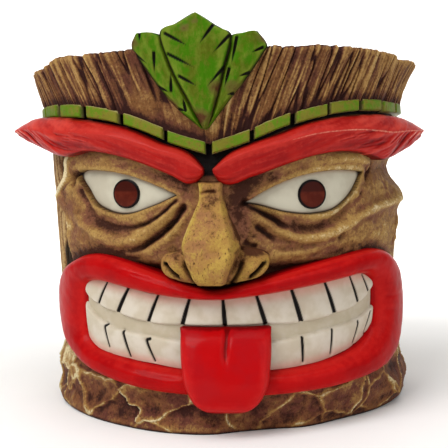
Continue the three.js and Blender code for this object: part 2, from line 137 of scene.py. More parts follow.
def value_noise(p, seed):
    """Smooth noise from 0 to 1 at points p, an array of shape (..., 3)."""
    base = np.floor(p).astype(np.int64)
    f = p - base
    f = f * f * (3 - 2 * f)
    total = 0.0
    for corner in np.ndindex(2, 2, 2):
        weight = 1.0
        for axis in range(3):
            share = f[..., axis]
            weight = weight * (share if corner[axis] else 1 - share)
        ix, iy, iz = (base[..., axis] + corner[axis] for axis in range(3))
        total = total + weight * hashed(ix, iy, iz, seed)
    return total


def fractal(p, seed, octaves=4, gain=0.5):
    """Layered noise, about -1 to 1."""
    total, weight, reach = 0.0, 1.0, 0.0
    for octave in range(octaves):
        total = total + weight * (2 * value_noise(p * 2**octave, seed + octave) - 1)
        reach += weight
        weight *= gain
    return total / reach


def cells(p, seed):
    """Distances to the two nearest scattered points, and a random number for the nearest."""
    base = np.floor(p).astype(np.int64)
    near = np.full(p.shape[:-1], 9.0)
    next_near = near.copy()
    name = np.zeros(p.shape[:-1])
    for step in np.ndindex(3, 3, 3):
        cell = base + (np.array(step) - 1)
        ix, iy, iz = cell[..., 0], cell[..., 1], cell[..., 2]
        jitter = np.stack([hashed(ix, iy, iz, seed + k) for k in range(3)], axis=-1)
        distance = np.linalg.norm(cell + jitter - p, axis=-1)
        closer = distance < near
        next_near = np.where(closer, near, np.minimum(next_near, distance))
        name = np.where(closer, hashed(ix, iy, iz, seed + 3), name)
        near = np.where(closer, distance, near)
    return near, next_near, name


def on_cylinder(a, z, r=50.0):
    """Points in space, at a radius of 50 where only the place on the mug matters."""
    return np.stack([r * np.sin(rad(a)), -r * np.cos(rad(a)), z + 0 * a], axis=-1)


def lumps(a, z, size, seed, octaves=3):
    """Uneven ground on the mug, about -1 to 1, with lumps about size millimetres across."""
    return fractal(on_cylinder(a, z) / size, seed, octaves)


def smooth_path(corners, steps=6):
    """A denser path that bends smoothly through the corners."""
    corners = np.array(corners, float)
    share = np.arange(len(corners))
    dense = np.linspace(0, len(corners) - 1, (len(corners) - 1) * steps + 1)
    return np.stack([through(np.stack([share, c], axis=-1), dense) for c in corners.T], axis=-1)


def closed_path(corners, u):
    """Points at share u of a smooth closed path through the corners."""
    count = len(corners)
    overlapped = np.array(corners[-3:] + corners + corners[:3], float)
    keys = np.arange(-3, count + 3)
    return [through(np.stack([keys, overlapped[:, k]], -1), u * count) for k in range(2)]


def near_path(a, z, corners, reach=6.0):
    """Distance to a path in millimetres, but no more than reach, and the share along it."""
    path = smooth_path(corners) * [ARC, 1]
    x, y = a * ARC, z
    low, high = path.min(axis=0) - reach, path.max(axis=0) + reach
    inside = (x > low[0]) & (x < high[0]) & (y > low[1]) & (y < high[1])
    best = np.full(inside.sum(), reach * 1.0)
    share = np.zeros_like(best)
    px, py = x[inside], y[inside]
    count = len(path) - 1
    for i in range(count):
        (x0, y0), (x1, y1) = path[i], path[i + 1]
        dx, dy = x1 - x0, y1 - y0
        t = np.clip(((px - x0) * dx + (py - y0) * dy) / (dx * dx + dy * dy), 0, 1)
        distance = np.hypot(px - x0 - t * dx, py - y0 - t * dy)
        closer = distance < best
        best = np.where(closer, distance, best)
        share = np.where(closer, (i + t) / count, share)
    nearest = np.full(a.shape, reach * 1.0)
    along = np.zeros(a.shape)
    nearest[inside] = best
    along[inside] = share
    return nearest, along


def fading(along, start, end):
    """1 along a path, easing to 0 over a share of it at each end."""
    strength = ease(along / start) if start else 1.0
    return strength * ease((1 - along) / end) if end else strength


def carve(r, a, z, corners, width, depth, fade=(0.25, 0.25)):
    """Cuts a groove along a path, or raises a ridge where depth is negative. fade is the share
    of the path over which each end dies away."""
    distance, along = near_path(a, z, corners, reach=3.5 * width)
    return r - depth * fading(along, *fade) * bell(distance / width)


def carve_all(r, a, z, lines):
    for line in lines:
        r = carve(r, a, z, *line)
    return r


def blurred(grid, cells_u, cells_v, ring):
    """A grid averaged over about that many cells each way."""
    for axis, size in ((1, cells_u), (0, cells_v)):
        half = max(1, int(round(size / 2)))
        for _ in range(2):
            mode = "wrap" if (ring and axis == 1) else "edge"
            pad = [(0, 0), (0, 0)]
            pad[axis] = (half + 1, half)
            total = np.cumsum(np.pad(grid, pad, mode=mode), axis=axis)
            ahead = np.take(total, range(2 * half + 1, total.shape[axis]), axis=axis)
            behind = np.take(total, range(total.shape[axis] - 2 * half - 1), axis=axis)
            grid = (ahead - behind) / (2 * half + 1)
    return grid


# ---------------------------------------------------------------- building a piece


def smooth_mesh(name, points, faces, material, sharp_above):
    """An object from points in millimetres, smooth but for edges sharper than an angle."""
    mesh = bpy.data.meshes.new(name)
    mesh.from_pydata((points * MM).reshape(-1, 3).tolist(), [], faces)
    mesh.polygons.foreach_set("use_smooth", [True] * len(mesh.polygons))
    mesh.set_sharp_from_angle(angle=math.radians(sharp_above))
    mesh.materials.append(material)
    made = bpy.data.objects.new(name, mesh)
    bpy.context.scene.collection.objects.link(made)
    return made


def join_frame(made, node):
    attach(made, "root")
    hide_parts(node)


def piece(name, node, material, columns, rows, shape, back, ring=False, paint=None):
    """Makes a closed mesh from a sheet and joins it to the frame in place of a CAD node.
    shape(u, v) gives azimuth, height and radius on grids; back(a, z) is the back's radius.
    paint(a, z, u, v) gives more numbers for the material, by name."""
    across = columns if ring else columns + 1
    u, v = np.meshgrid(np.arange(across) / columns, np.linspace(0, 1, rows + 1))
    a, z, r = (grid + 0.0 * u for grid in shape(u, v))
    kept = np.linspace(rows, 0, BACK_ROWS).astype(int)
    behind = back(a, z)[kept] + 0.0 * r[kept]
    points = on_cylinder(np.vstack([a, a[kept]]), np.vstack([z, z[kept]]), np.vstack([r, behind]))
    index = np.arange(len(points) * across).reshape(-1, across)
    after = np.roll(index, -1, axis=0)
    beside = np.roll(index, -1, axis=1)
    quads = np.stack([index, beside, np.roll(after, -1, axis=1), after], -1)
    if not ring:
        quads = quads[:, :-1]
    faces = quads.reshape(-1, 4).tolist()
    if not ring:
        faces += [index[:, 0].tolist(), index[::-1, -1].tolist()]
    made = smooth_mesh(name, points, faces, material, 60)
    numbers = {"relief": relief_of(a, z, r, ring)}
    if paint:
        numbers.update(paint(a, z, u, v))
    for key, grid in numbers.items():
        grid = grid + 0.0 * a
        layer = made.data.attributes.new(key, "FLOAT", "POINT")
        layer.data.foreach_set("value", np.vstack([grid, grid[kept]]).astype(np.float32).ravel())
    join_frame(made, node)


def relief_of(a, z, r, ring):
    """How proud each point stands of its surroundings: 0 in a hollow, 0.5 level, 1 on a ridge."""
    step_u = np.median(np.hypot(np.diff(a, axis=1) * ARC, np.diff(z, axis=1))) + 1e-6
    step_v = np.median(np.hypot(np.diff(a, axis=0) * ARC, np.diff(z, axis=0))) + 1e-6
    fine = r - blurred(r, 1.6 / step_u, 1.6 / step_v, ring)
    broad = r - blurred(r, 6 / step_u, 6 / step_v, ring)
    return 0.5 + 0.5 * np.tanh(fine / 0.32 + broad / 1.8)


# ---------------------------------------------------------------- materials
# Every tone is as seen on screen, 0 to 255.
INK = (14, 9, 8)


def linear(tone):
    """A tone in the renderer's own linear numbers."""
    share = np.array(tone) / 255
    return np.where(share < 0.04045, share / 12.92, ((share + 0.055) / 1.055) ** 2.4)


class Paint:
    """Builds a node material coat by coat. Every value is a socket or a plain number."""

    def __init__(self, name):
        self.material = bpy.data.materials.new(name)
        self.material.use_nodes = True
        self.nodes = self.material.node_tree.nodes
        self.links = self.material.node_tree.links
        self.shader = self.nodes["Principled BSDF"]
        self.place = self.nodes.new("ShaderNodeTexCoord").outputs["Object"]

    def feed(self, socket, value):
        if isinstance(value, bpy.types.NodeSocket):
            self.links.new(value, socket)
        elif isinstance(value, tuple):
            socket.default_value = (*linear(value), 1)
        else:
            socket.default_value = value

    def number(self, attribute):
        node = self.nodes.new("ShaderNodeAttribute")
        node.attribute_name = attribute
        return node.outputs["Fac"]

    def noise(self, size_mm, detail=4.0, roughness=0.55, stretch=(1, 1, 1)):
        """Noise whose blotches are about size_mm across, stretched along the axes."""
        mapping = self.nodes.new("ShaderNodeMapping")
        mapping.inputs["Scale"].default_value = [1 / (size_mm * MM * s) for s in stretch]
        self.links.new(self.place, mapping.inputs["Vector"])
        node = self.nodes.new("ShaderNodeTexNoise")
        node.inputs["Scale"].default_value = 1.0
        node.inputs["Detail"].default_value = detail
        node.inputs["Roughness"].default_value = roughness
        self.links.new(mapping.outputs["Vector"], node.inputs["Vector"])
        return node.outputs["Fac"]

    def math(self, operation, a, b):
        node = self.nodes.new("ShaderNodeMath")
        node.operation = operation
        self.feed(node.inputs[0], a)
        self.feed(node.inputs[1], b)
        return node.outputs[0]

    def uneven(self, value, noise, amount):
        """A value roughened by noise, so that paint that depends on it gets a ragged edge."""
        swing = self.math("MULTIPLY", self.math("SUBTRACT", noise, 0.5), amount)
        return self.math("ADD", value, swing)

    def between(self, value, low, high):
        """0 below low, 1 above high, smooth between. low may be above high."""
        node = self.nodes.new("ShaderNodeMapRange")
        node.interpolation_type = "SMOOTHSTEP"
        node.clamp = True
        self.feed(node.inputs["Value"], value)
        node.inputs["From Min"].default_value = low
        node.inputs["From Max"].default_value = high
        return node.outputs["Result"]

    def blend(self, share, a, b):
        node = self.nodes.new("ShaderNodeMix")
        node.data_type = "RGBA"
        self.feed(node.inputs["Factor"], share)
        self.feed(node.inputs[6], a)
        self.feed(node.inputs[7], b)
        return node.outputs[2]

    def begin(self, noise, tone, other, spread=0.15):
        """The first coat, in two tones mottled by noise."""
        self.colour = self.blend(self.between(noise, 0.5 - spread, 0.5 + spread), tone, other)

    def over(self, share, tone):
        """Lays a tone over the colour so far, as opaque as share."""
        self.colour = self.blend(share, self.colour, tone)

    def lay(self, value, low, high, tone):
        """Lays a tone where a value is on the high side. low may be above high."""
        self.over(self.between(value, low, high), tone)

    def finish(self, roughness, bump, bump_mm, coat=0.0, specular=0.5):
        self.feed(self.shader.inputs["Base Color"], self.colour)
        self.feed(self.shader.inputs["Roughness"], roughness)
        self.shader.inputs["Specular IOR Level"].default_value = specular
        self.shader.inputs["Coat Weight"].default_value = coat
        self.shader.inputs["Coat Roughness"].default_value = 0.14
        node = self.nodes.new("ShaderNodeBump")
        node.inputs["Distance"].default_value = bump_mm * MM
        self.links.new(bump, node.inputs["Height"])
        self.links.new(node.outputs["Normal"], self.shader.inputs["Normal"])
        return self.material


def antique(name, body, other, wash, brushed, pale, relief_share=1.0, grain=1.6, pitted=0.6):
    """Carving painted in two mottled tones, with a dark wash left in the hollows, a lighter tone
    dry-brushed over the ridges and a pale one caught on the sharpest edges."""
    p = Paint(name)
    mottle = p.noise(grain, 6, 0.7)
    fine = p.noise(0.6, 4, 0.7)
    pores = p.noise(0.5, 3, 0.7, (1, 1, 1.8))
    patches = p.noise(6, 4, 0.6)
    level = p.math("MULTIPLY", p.math("SUBTRACT", p.number("relief"), 0.5), relief_share)
    level = p.math("ADD", level, p.number("streak"))
    level = p.uneven(level, mottle, 1.0)
    level = p.uneven(level, fine, 1.0)
    p.begin(p.uneven(patches, mottle, 0.8), body, other)
    p.lay(level, 0.45, 1.05, brushed)
    p.lay(level, 1.0, 1.5, pale)
    p.lay(level, 0.5, -0.12, wash)
    p.over(p.math("MULTIPLY", p.between(pores, 0.46, 0.3), pitted), wash)
    p.over(p.number("dark"), INK)
    return p.finish(p.uneven(0.62, mottle, 0.25), p.uneven(mottle, fine, 0.9), 0.3, specular=0.1)


SKIN = antique("skin_paint", (134, 94, 54), (126, 80, 58), (60, 31, 20), (172, 136, 76),
               (226, 208, 164), relief_share=0.9)
NOSE = antique("nose_paint", (162, 122, 62), (154, 108, 68), (78, 44, 24), (182, 150, 70),
               (206, 180, 104), relief_share=0.5, pitted=0.9)
BARK = antique("bark_paint", (138, 102, 62), (118, 80, 52), (52, 26, 16), (186, 154, 104),
               (226, 206, 162))
CROWN = antique("crown_paint", (116, 76, 42), (98, 57, 40), (48, 22, 18), (168, 130, 76),
                (200, 170, 116), relief_share=0.7)
ROCK = antique("rock_paint", (126, 80, 48), (102, 56, 44), (54, 26, 20), (164, 126, 70),
               (214, 198, 154), grain=1.3, pitted=0.8)


def red_enamel(name, tone, other, dark, light, coat):
    """Gloss paint of nearly even colour, darker in the hollows and paler on the ridges."""
    p = Paint(name)
    brush = p.noise(1.4, 3, 0.6)
    p.begin(p.noise(8, 3), tone, other)
    level = p.uneven(p.number("relief"), brush, 0.3)
    p.lay(level, 0.4, 0.05, dark)
    p.lay(level, 0.72, 1.05, light)
    return p.finish(p.uneven(0.34, brush, 0.16), brush, 0.04, coat, specular=0.03)


LIP_RED = red_enamel("lip_enamel", (172, 8, 10), (156, 6, 10), (108, 4, 6), (188, 28, 24), 0.06)
TONGUE_RED = red_enamel("tongue_enamel", (176, 6, 10), (166, 14, 20), (114, 4, 6), (188, 28, 28),
                        0.08)


def brow_paint():
    """Red with brush strokes and a painted highlight along the top bevel, rubbed pale along the crest
    and bare under one tip.
    """
    p = Paint("brow_enamel")
    brush = p.noise(1.2, 4, 0.65)
    p.begin(p.noise(7, 3), (164, 20, 14), (146, 12, 12))
    level = p.uneven(p.number("relief"), brush, 0.5)
    p.lay(level, 0.6, 1.0, (180, 42, 34))
    p.lay(level, 0.4, 0.1, (100, 10, 8))
    strokes_and_highlight = p.uneven(p.number("strokes_and_highlight"), brush, 0.5)
    p.lay(strokes_and_highlight, -0.15, -0.95, (104, 8, 8))
    # The lighter red carries the brush strokes and the painted highlight on the top bevel.
    p.lay(strokes_and_highlight, 0.15, 0.8, (198, 62, 50))
    p.lay(p.uneven(p.number("worn"), p.noise(0.9, 4, 0.65), 0.8), 0.45, 1.0, (218, 146, 124))
    p.lay(p.uneven(p.number("bare"), p.noise(1.5, 4, 0.65), 0.7), 0.45, 0.9, (168, 120, 90))
    return p.finish(0.42, brush, 0.06, 0.1, specular=0.06)


BROW_RED = brow_paint()


def marked_enamel(name, size, tones, marks, roughness, grain, bump_mm, coat, specular):
    """Enamel in two close tones with painted marks, each an attribute, a tone and how ragged."""
    p = Paint(name)
    p.begin(p.noise(size, 3), *tones)
    for attribute, tone, ragged in marks:
        share = p.number(attribute)
        p.over(p.uneven(share, p.noise(2.5, 4), ragged) if ragged else share, tone)
    return p.finish(roughness, p.noise(grain, 2), bump_mm, coat, specular)


TOOTH = marked_enamel("tooth_enamel", 5, ((206, 197, 181), (194, 183, 162)),
                      [("gum", (214, 150, 134), 0), ("groove", (174, 160, 134), 0.5),
                       ("ink", INK, 0)], 0.36, 2.5, 0.03, 0.06, 0.06)
# The eye's ink is the black line under the eye and painted shadow at its outer corner.
EYE = marked_enamel("eye_enamel", 6, ((196, 190, 170), (184, 176, 156)),
                    [("shade", (166, 142, 120), 0), ("ink", (26, 14, 10), 0)],
                    0.4, 2.5, 0.02, 0.08, 0.12)
IRIS = marked_enamel("iris_enamel", 2, ((90, 32, 18), (76, 22, 10)),
                     [("shade", (58, 16, 8), 0), ("ink", INK, 0)], 0.4, 2, 0.02, 0.06, 0.05)


def leaf_paint():
    """Two greens, worn to olive and brown near the edges, with inked veins."""
    p = Paint("leaf_paint")
    mottle = p.noise(1.4, 5, 0.7, (1, 1, 1.8))
    p.begin(p.uneven(p.noise(5, 4), mottle, 0.8), (58, 108, 0), (78, 88, 12), 0.12)
    level = p.uneven(p.number("relief"), mottle, 1.1)
    p.lay(level, 0.6, 1.1, (104, 124, 34))
    p.lay(level, 0.46, 0.05, (44, 46, 10))
    worn = p.uneven(p.number("worn"), p.noise(2.0, 5, 0.7), 1.1)
    p.lay(worn, 0.35, 0.9, (92, 88, 34))
    p.lay(worn, 0.85, 1.2, (78, 48, 26))
    # The ink carries the veins and the painted shade along the leaf's side edges.
    p.over(p.number("ink"), (16, 16, 8))
    return p.finish(0.52, mottle, 0.18, specular=0.06)


LEAF = leaf_paint()


def band_paint():
    """Green over brown, worn to a pale yellow along the edges, with black joints."""
    p = Paint("band_paint")
    mottle = p.noise(1.2, 5, 0.7)
    p.begin(p.uneven(p.noise(4, 3), mottle, 0.8), (88, 122, 4), (116, 114, 28), 0.1)
    p.lay(mottle, 0.54, 0.72, (106, 84, 34))
    p.lay(p.uneven(p.number("edge"), mottle, 0.8), 0.55, 1.1, (168, 158, 96))
    p.over(p.number("ink"), INK)
    return p.finish(0.5, mottle, 0.1, specular=0.18)


BAND = band_paint()


def glaze_paint():
    p = Paint("inner_glaze")
    streaks = p.noise(7, 4, 0.6, (1, 1, 3))
    p.begin(streaks, (74, 46, 32), (54, 32, 24))
    return p.finish(0.22, streaks, 0.05, 0.3)


GLAZE = glaze_paint()


def paper_paint():
    p = Paint("studio_paper")
    p.begin(p.noise(60, 2), (246, 245, 243), (243, 242, 240), 0.2)
    return p.finish(0.9, p.noise(1.5, 2), 0.02, specular=0.1)


PAPER = paper_paint()

# ---------------------------------------------------------------- shared surfaces


def lean(a, z):
    return (LEAN_AT_FLOOR - LEAN_PER_MM * z) * np.sin(rad(a))


def round_body(a, z):
    """The trunk's plain round: what the brows and the band are laid on."""
    return WAIST + lean(a, z) - (0.8 + 0.5 * np.sin(rad(a))) * bell((z - 30) / 14)


def body(a, z):
    """The round trunk with the hollow of the right temple."""
    return round_body(a, z) - 1.8 * bell((z - 67) / 5.5) * window(a, 50, 20, 118, 30)


def cup_outer(z):
    return mix(42.5, 49.5, ease((z - 76) / (RIM - 76)))


def lining(a, z):
    return cup_outer(z) + 0.3 + 0.0 * a


def band_top(a):
    rise = through([[0, 0], [10, 0.25], [20, 0.57], [31, 0.81], [42, 0.95], [56, 1]],
                   np.abs(wrapped(a) - BAND_POINT))
    return mix(BAND_LOW, BAND_HIGH, rise)


def crown_base(a, z):
    """The flare of the crown, before it is split into strands."""
    foot_z = band_top(a)
    rise = np.clip((z - foot_z) / (RIM - foot_z), 0, 1.1)
    return mix(51.7, 54.9, rise) + 0.8 * lean(a, z)


# The sole's outline: azimuth, radius
SOLE = [[-180, 50], [-90, 49.8], [-49, 50.6], [-31, 51.1], [-11, 52], [-1, 51.5], [5, 49.8],
        [14, 48.6], [27, 49.7], [38, 49], [58, 50], [80, 50.8], [130, 50.4], [180, 50]]
FOOT_MEAN = [[0, 50.2], [5, 50], [12, 51], [14, 50.4], [16, 48.8]]  # height, radius
FOOT_ON_RIGHT = [[0, 0.8], [3, 2.0], [4.8, 2.0], [6.6, 1.2], [8.5, -0.4], [10.3, -1.8],
                 [12.5, -2.0], [16, -1.2]]  # height, what is added on the right


def foot_radius(a, z):
    """The stone's mean radius: an uneven sole, and above it a swelling that leans to the right."""
    a = wrapped(a)
    higher = through(FOOT_MEAN, z) + (0.6 + 0.1 * z) * np.sin(rad(a))
    on_right = through(FOOT_ON_RIGHT, z) * window(a, 36, 36, 150, 40)
    sole = through(SOLE, a) - 0.5 * ease(1 - z / 0.6)
    return mix(sole, higher, ease((z - 1) / 5)) + on_right


def wall_height(a, v):
    return mix(FOOT_TOP + 0.2, band_top(a) + 0.3, v)


def under_band(a, z):
    """1 behind the band and just under it, where everything is painted black."""
    below_band = 1.2  # how far under the band its black outline reaches
    return ease((z - band_top(a) + BAND_WIDTH + below_band) / 0.5)


# ---------------------------------------------------------------- cup


def cup():
    """The cup's wall, turned: outside, rim and glazed inside in one closed profile."""
    lip = CUP_WALL / 2
    rim_z, fillet = RIM - 1.2, 6
    inner_z, inner_r = CUP_FLOOR + fillet, 33.3
    profile = [(0.0, 0.02), (0.0, 41.5), (0.25, 42.2)]
    profile += [(z, cup_outer(z)) for z in np.linspace(0.8, rim_z, 40)]
    profile += [(rim_z + 1.2 * math.sin(t), 49.5 - lip + lip * math.cos(t))
                for t in np.linspace(0, math.pi, 10)]
    profile += [(z, cup_outer(z) - CUP_WALL) for z in np.linspace(rim_z, inner_z, 40)]
    profile += [(inner_z - fillet * math.sin(t), inner_r + fillet * math.cos(t))
                for t in np.linspace(0.1, math.pi / 2, 10)]
    profile += [(CUP_FLOOR + 0.35 * bell(s * 3), inner_r * (1 - s))
                for s in np.linspace(0.05, 1, 12)]
    profile[-1] = (profile[-1][0], 0.02)
    heights, radii = np.array(profile).T
    sides = 160
    turn = np.arange(sides) / sides * 2 * math.pi
    wobble = 0.12 * np.sin(3 * turn[None, :] + heights[:, None] / 18)
    r = radii[:, None] + wobble * (radii[:, None] > 30)
    points = np.stack([r * np.cos(turn), r * np.sin(turn), heights[:, None] + 0 * r], -1)
    index = np.arange(len(profile) * sides).reshape(-1, sides)
    beside = np.roll(index, -1, 1)
    quads = np.stack([index[:-1], beside[:-1], beside[1:], index[1:]], -1)
    faces = quads.reshape(-1, 4).tolist() + [index[0, ::-1].tolist(), index[-1].tolist()]
    join_frame(smooth_mesh("cup_lining", points, faces, GLAZE, 50), "cup_body")


cup()

# ---------------------------------------------------------------- crown


def strands(a, z, seed, fine=0.42, coarse=1.3, split=3.0):
    """Long strands side by side: their height, about -1 to 1, and how deep in a split a point is.
    a holds the strands' own azimuth; z changes them slowly."""
    thin = lumps(a, z * 0.05, fine, seed, 2)
    thick = lumps(a, z * 0.06, coarse, seed + 5, 2)
    crossing = lumps(a, z * 0.12, split, seed + 9, 2)
    return 0.5 * thin + 0.5 * thick, bell(crossing / 0.05)


def fanned(a, z):
    """Azimuth at the root of the strand that passes through a point: strands fan outwards."""
    a = wrapped(a)
    outward = np.tanh((a - BAND_POINT) / 9) * ease((178 - np.abs(a)) / 60)
    return a - 0.38 * outward * (z - 76)


def below_leaf(a, z):
    """1 in the smooth wood between the left leaf and the band."""
    high = z - band_top(a)
    return window(a, -25, 6, -1, 3) * ease((10 - high) / 6)


def rim_height(a):
    """The chopped top of the crown: short steps, a notch on the left, lower ends on both sides."""
    steps = value_noise(on_cylinder(a, 0 * a) / 2.6, 71)
    strand, split = strands(fanned(a, RIM), RIM + 0 * a, 11)
    jagged = 0.5 * np.round(steps * 5) / 5 + 0.2 * strand - 0.45 * split
    notch = 0.9 * bell((a + 37.5) / 1.3)
    right = 0.7 * window(a, 22, 8, 60.5, 1)
    lower_end = 0.4 * window(a, 60, 0.8, 74, 3)
    lower_left = 1.4 * window(-a, 46, 14, 112, 20)
    return RIM + jagged + right - notch - lower_end - lower_left


def crown():
    def shape(u, v):
        a = -180 + 360 * u
        z = mix(band_top(a) - 0.5, rim_height(a), v)
        strand, split = strands(fanned(a, z), z, 11)
        rough = 1 - 0.8 * below_leaf(a, z)
        flare = 1.8 * window(a, 58, 14, 120, 24) * v**3
        r = crown_base(a, z) + rough * (0.6 * strand - 0.75 * split) + flare
        r = r + 0.12 * lumps(a, z, 1.5, 19, 2)
        return a, z, r - 0.8 * ease((v - 0.94) / 0.06) ** 2

    def paint(a, z, u, v):
        root_a = fanned(a, z)
        strand, split = strands(root_a, z, 11)
        clumps = lumps(root_a, z * 0.25, 5.0, 23)
        smooth = below_leaf(a, z)
        root = bell((z - band_top(a)) / 1.6) * (0.5 + 0.25 * smooth)
        wood = 0.75 * strand - 0.5 * split + 0.4 * clumps
        lines = ease((lumps(root_a, z * 0.04, 0.5, 27, 2) - 0.15) / 0.3)
        # Painted light: the wood on the right side of the crown is painted lighter.
        painted_light_on_right = 0.14 * window(a, 30, 30, 150, 50)
        return {"streak": 0.38 + painted_light_on_right + mix(wood + 0.3 * lines, 0.3, 0.85 * smooth) - root}

    piece("crown_wood", "bark_crown", CROWN, 1400, 62, shape, lining, ring=True,
          paint=paint)


crown()

# ---------------------------------------------------------------- band


def band_width(a):
    """The blocks on the left are a little taller."""
    return BAND_WIDTH + 0.5 * window(-a, 25, 25, 150, 30)


def band_joints():
    """Azimuths of all the joints: uneven in front, as listed, and even round the rest."""
    first, last = BAND_FRONT_JOINTS[0], BAND_FRONT_JOINTS[-1]
    behind = BAND_BLOCKS - len(BAND_FRONT_JOINTS) + 1
    pitch = (360 - last + first) / behind
    before = [first - k * pitch for k in range(BAND_BLOCKS_BEFORE_FRONT, 0, -1)]
    after = [last + (k + 1) * pitch for k in range(behind - BAND_BLOCKS_BEFORE_FRONT)]
    return before + BAND_FRONT_JOINTS + after


def join_width(j):
    """Degrees between two blocks. The first two joints in front are wider."""
    in_front = j % BAND_BLOCKS - BAND_BLOCKS_BEFORE_FRONT
    return 1.0 + 0.5 * (j % 2) + {0: 0.9, 1: 1.3}.get(in_front, 0)


def band_block(i, start, end):
    """Block i between two azimuths: domed, with a pale rim and black ends."""
    def from_edges(a, v):
        side = np.minimum(a - start, end - a) * ARC
        return side, np.minimum(side, np.minimum(v, 1 - v) * band_width(a))

    def shape(u, v):
        a = mix(start, end, u)
        z = band_top(a) - band_width(a) * (1 - v)
        dome = 1.45 * rounded(from_edges(a, v)[1] / 0.5)
        dents = 0.18 * lumps(a, z, 2.0, 31 + i)
        return a, z + 0.12 * np.sin(i * 2.1), round_body(a, z) + 0.6 + dome + dents

    def paint(a, z, u, v):
        side, edge = from_edges(a, v)
        rim = 1.1 * (1 - ease(edge / 0.5)) + 0.35 * ease((v - 0.78) / 0.2)
        return {"edge": rim, "ink": ease((0.25 - side) / 0.12)}

    piece(f"band_block_{i + 1:02d}", f"band_segment_{i + 1:02d}", BAND, 40, 14,
          shape, lambda a, z: round_body(a, z) - 0.4, paint=paint)


joints = band_joints()
for block in range(BAND_BLOCKS):
    band_block(block, joints[block] + join_width(block) / 2,
               joints[block + 1] - join_width(block + 1) / 2)

# ---------------------------------------------------------------- leaves


def leaf(name, node, left, right, veins, lift, worn_at, thickness=2.2):
    """A leaf between two edges that run from its lower tip to its upper tip. worn_at lists the
    azimuth, height and size of each worn patch."""
    left_path, right_path = smooth_path(left, 12), smooth_path(right, 12)

    def edge(path, v):
        share = np.linspace(0, 1, len(path))
        return np.interp(v, share, path[:, 0]), np.interp(v, share, path[:, 1])

    def shape(u, v):
        (left_a, left_z), (right_a, right_z) = edge(left_path, v), edge(right_path, v)
        a, z = mix(left_a, right_a, u), mix(left_z, right_z, u)
        width = np.hypot((right_a - left_a) * ARC, right_z - left_z)
        bevel = ease(np.minimum(u, 1 - u) * width / 0.9)
        keel = 1 - np.abs(2 * u - 1)
        r = crown_base(a, z) + lift + thickness * (0.45 + 0.55 * bevel) + 0.5 * keel
        r = r + 0.12 * lumps(a, z, 2.2, 51)
        return a, z, carve_all(r, a, z, [(vein, 0.25, 0.45, (0, 0.5)) for vein in veins])

    def paint(a, z, u, v):
        ink = 0 * a
        for vein in veins:
            distance, along = near_path(a, z, vein)
            thin = 0.34 * ease((1 - along) / 0.8 + 0.1)
            ink = np.maximum(ink, ease((thin - distance) / 0.14 + 0.5) * (along > 0))
        worn = sum(bell(np.hypot((a - wa) * ARC, z - wz) / size) for wa, wz, size in worn_at)
        from_edge = np.minimum(u, 1 - u)
        # Painted shade: the leaf's side edges are inked dark where they meet the wood.
        painted_shade_at_edge = 0.7 * ease((0.05 - from_edge) / 0.04)
        worn = worn + 0.35 * bell(from_edge / 0.09) + 0.25 * ease((86 - z) / 10)
        return {"ink": np.maximum(ink, painted_shade_at_edge), "worn": worn}

    piece(name, node, LEAF, 140, 170, shape,
          lambda a, z: crown_base(a, z) + lift - 0.8, paint=paint)


leaf("leaf_middle", "leaf_center",
     [[-2.2, 74.3], [-5.6, 80.5], [-9.4, 87.8], [-11.9, 96.5], [-8, 98.7], [-4.6, 100.6],
      [-3.6, 101]],
     [[-1.2, 74.3], [1, 80.5], [3.4, 89], [5.0, 95.6], [2, 97.6], [-1.2, 99.8], [-3.2, 101]],
     [[[-10.4, 96.4], [-4.9, 93.2]], [[-10, 91.8], [-3.7, 88.4]], [[-7.6, 86.7], [-3.2, 84.2]],
      [[0.9, 98], [-2.4, 93.6]], [[4.5, 95.6], [0.6, 91.6]], [[3.4, 88.8], [-0.8, 84.1]]],
     0.9, [[-5.6, 97.3, 1.3], [-3.2, 98.8, 0.9], [-3, 77, 2.4], [1, 84, 2]])
leaf("leaf_on_left", "leaf_left",
     [[-3.0, 74.6], [-8.8, 79.2], [-13.4, 84.4], [-18.6, 92], [-19.6, 94.2], [-18.4, 96.8]],
     [[-2.2, 74.6], [-5.4, 80.6], [-9.1, 87.6], [-10.9, 93], [-11.7, 96], [-14, 97]],
     [[[-19.6, 93], [-15.4, 89.8]], [[-16.6, 97.2], [-16.8, 94.9]], [[-13.4, 92.4], [-13.7, 87.6]],
      [[-13.2, 84.5], [-10.4, 83.1]], [[-9.8, 83.2], [-9.7, 87.4]], [[-8.6, 79.3], [-6.2, 78.6]],
      [[-6.4, 78.6], [-7.0, 81.8]]],
     0.2, [[-19, 95, 2.2], [-10, 80, 2]], 1.8)
leaf("leaf_on_right", "leaf_right",
     [[-1.4, 74.6], [0.8, 80.6], [3.1, 88.6], [4.4, 93], [4.8, 95.7], [8, 96.5]],
     [[-1.0, 74.6], [3.5, 79.9], [8.9, 86.3], [12.9, 92], [13.6, 93.8], [11.2, 96.8]],
     [[[12.6, 93.1], [9.6, 91.8]], [[9.4, 87.4], [6.6, 86.4]], [[5.6, 82.6], [3.8, 82.3]],
      [[6.2, 95.4], [4.9, 89.2]], [[4.4, 88.4], [3.2, 84]]],
     0.2, [[12, 95, 1.5], [5, 84, 2.2]], 1.8)

# ---------------------------------------------------------------- foot


